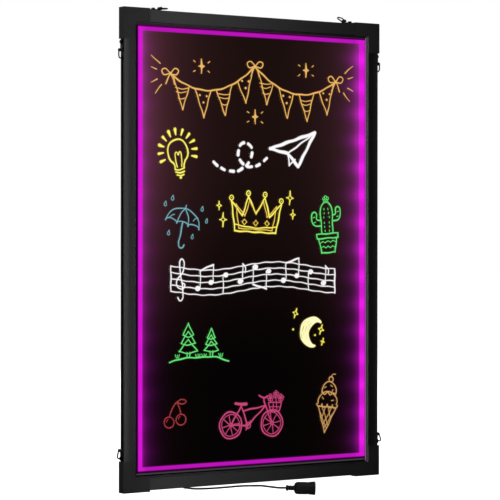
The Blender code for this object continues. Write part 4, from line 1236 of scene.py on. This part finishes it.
def draw_cone(d):
    """Ice-cream cone with two scoops and a berry."""
    cone = [(-19, -6), (0, -50), (19, -6)]
    wafer = ([(-10, -7), (5.5, -37)], [(3, -7), (10, -26)], [(-15.5, -14), (3, -43)])
    hem, hem_radii = ((-16.5, -2), (-5.5, -2), (5.5, -2), (16.5, -2)), (5.5, 5)
    lower, lower_radii, upper, upper_radii = (0, 3), (20, 17), (1, 22), (15, 15)
    seam = [(-14, 20), (-8, 15), (-2, 19), (4, 14), (10, 19), (16, 17)]
    berry, berry_radii, stalk = (3, 41), (4.5, 4.5), [(3, 45.5), (6, 50), (11, 51)]
    sprinkles = (((-8, 27), 40), ((5, 30), -30), ((8, 22), 70), ((-11, 8), -50), ((10, 6), 20))
    sprinkle_reaches = (-2.2, 2.2)
    d.lines(cone, closed=True)
    for line in wafer:
        for side in (1, -1):
            d.lines(around(CENTRE, line, side), FINE)
    for middle in hem:
        d.arc(middle, hem_radii, 180, 360)
    d.arc(lower, lower_radii, -14, 194)
    d.arc(upper, upper_radii, -20, 200)
    d.curve(seam)
    d.ring(berry, berry_radii)
    d.curve(stalk, FINE)
    for middle, degrees in sprinkles:
        d.lines(ray(middle, sprinkle_reaches, degrees), FINE)


def draw_all():
    """Every drawing of the table, in its own ink."""
    inks = {name: ink_material(name) for name in INKS}
    drawers = (
        draw_garland, draw_bulb, draw_plane, draw_umbrella, draw_crown, draw_crown_inside, draw_cactus,
        draw_staff, draw_trees, draw_moon, draw_moon_sparkles, draw_cherries, draw_bicycle, draw_cone,
    )
    for name, draw in zip(DRAWINGS, drawers):
        drawing = Drawing(name)
        draw(drawing)
        drawing.finish(inks)


# Scene


def make_camera():
    data = bpy.data.cameras.new("camera")
    data.sensor_width = SENSOR_WIDTH_MM
    data.lens = FOCAL_PIXELS * SENSOR_WIDTH_MM / IMAGE_WIDTH_PIXELS
    data.clip_start = CLIP_START
    data.clip_end = CLIP_END
    camera = add_object("camera", data)
    turn = Matrix.Rotation(CAMERA_YAW, 4, "Z") @ Matrix.Rotation(CAMERA_PITCH, 4, "X")
    camera.matrix_world = Matrix.Translation(CAMERA_PLACE) @ turn @ Matrix.Rotation(CAMERA_ROLL, 4, "Z")
    bpy.context.scene.camera = camera


def make_floor():
    bm = bmesh.new()
    bmesh.ops.create_grid(bm, x_segments=1, y_segments=1, size=FLOOR_HALF_SIZE)
    floor = add_mesh("floor", bm, floor_material())
    floor.visible_diffuse = False
    floor.visible_glossy = False
    floor.visible_transmission = False


def make_lamps():
    for name, (place, target, width, height, power, mirrored) in LAMPS.items():
        data = bpy.data.lights.new(name, "AREA")
        data.shape = "RECTANGLE"
        data.size = width
        data.size_y = height
        data.energy = power
        lamp = add_object(name, data)
        aim = (Vector(target) - Vector(place)).to_track_quat("-Z", "Y")
        lamp.matrix_world = Matrix.Translation(place) @ aim.to_matrix().to_4x4()
        lamp.visible_camera = False
        lamp.visible_glossy = mirrored
        lamp.visible_transmission = False


def make_world():
    """White behind the object, and dim light all round it."""
    world = bpy.data.worlds.new("studio")
    world.use_nodes = True
    nodes = world.node_tree.nodes
    links = world.node_tree.links
    nodes.clear()
    mixer = nodes.new("ShaderNodeMixShader")
    links.new(nodes.new("ShaderNodeLightPath").outputs["Is Camera Ray"], mixer.inputs[0])
    for socket, strength in zip(mixer.inputs[1:], (WORLD_DIM_LEVEL, 1.0)):
        light = nodes.new("ShaderNodeBackground")
        light.inputs["Color"].default_value = WHITE
        light.inputs["Strength"].default_value = strength
        links.new(light.outputs[0], socket)
    links.new(mixer.outputs[0], nodes.new("ShaderNodeOutputWorld").inputs[0])
    bpy.context.scene.world = world
    bpy.context.scene.view_settings.view_transform = "Standard"


make_camera()
cord_look = cord_material()
band_look = band_material()
dress_nodes(cord_look, band_look)
make_cord(cord_look)
make_band(band_look)
draw_all()
make_floor()
make_lamps()
make_world()
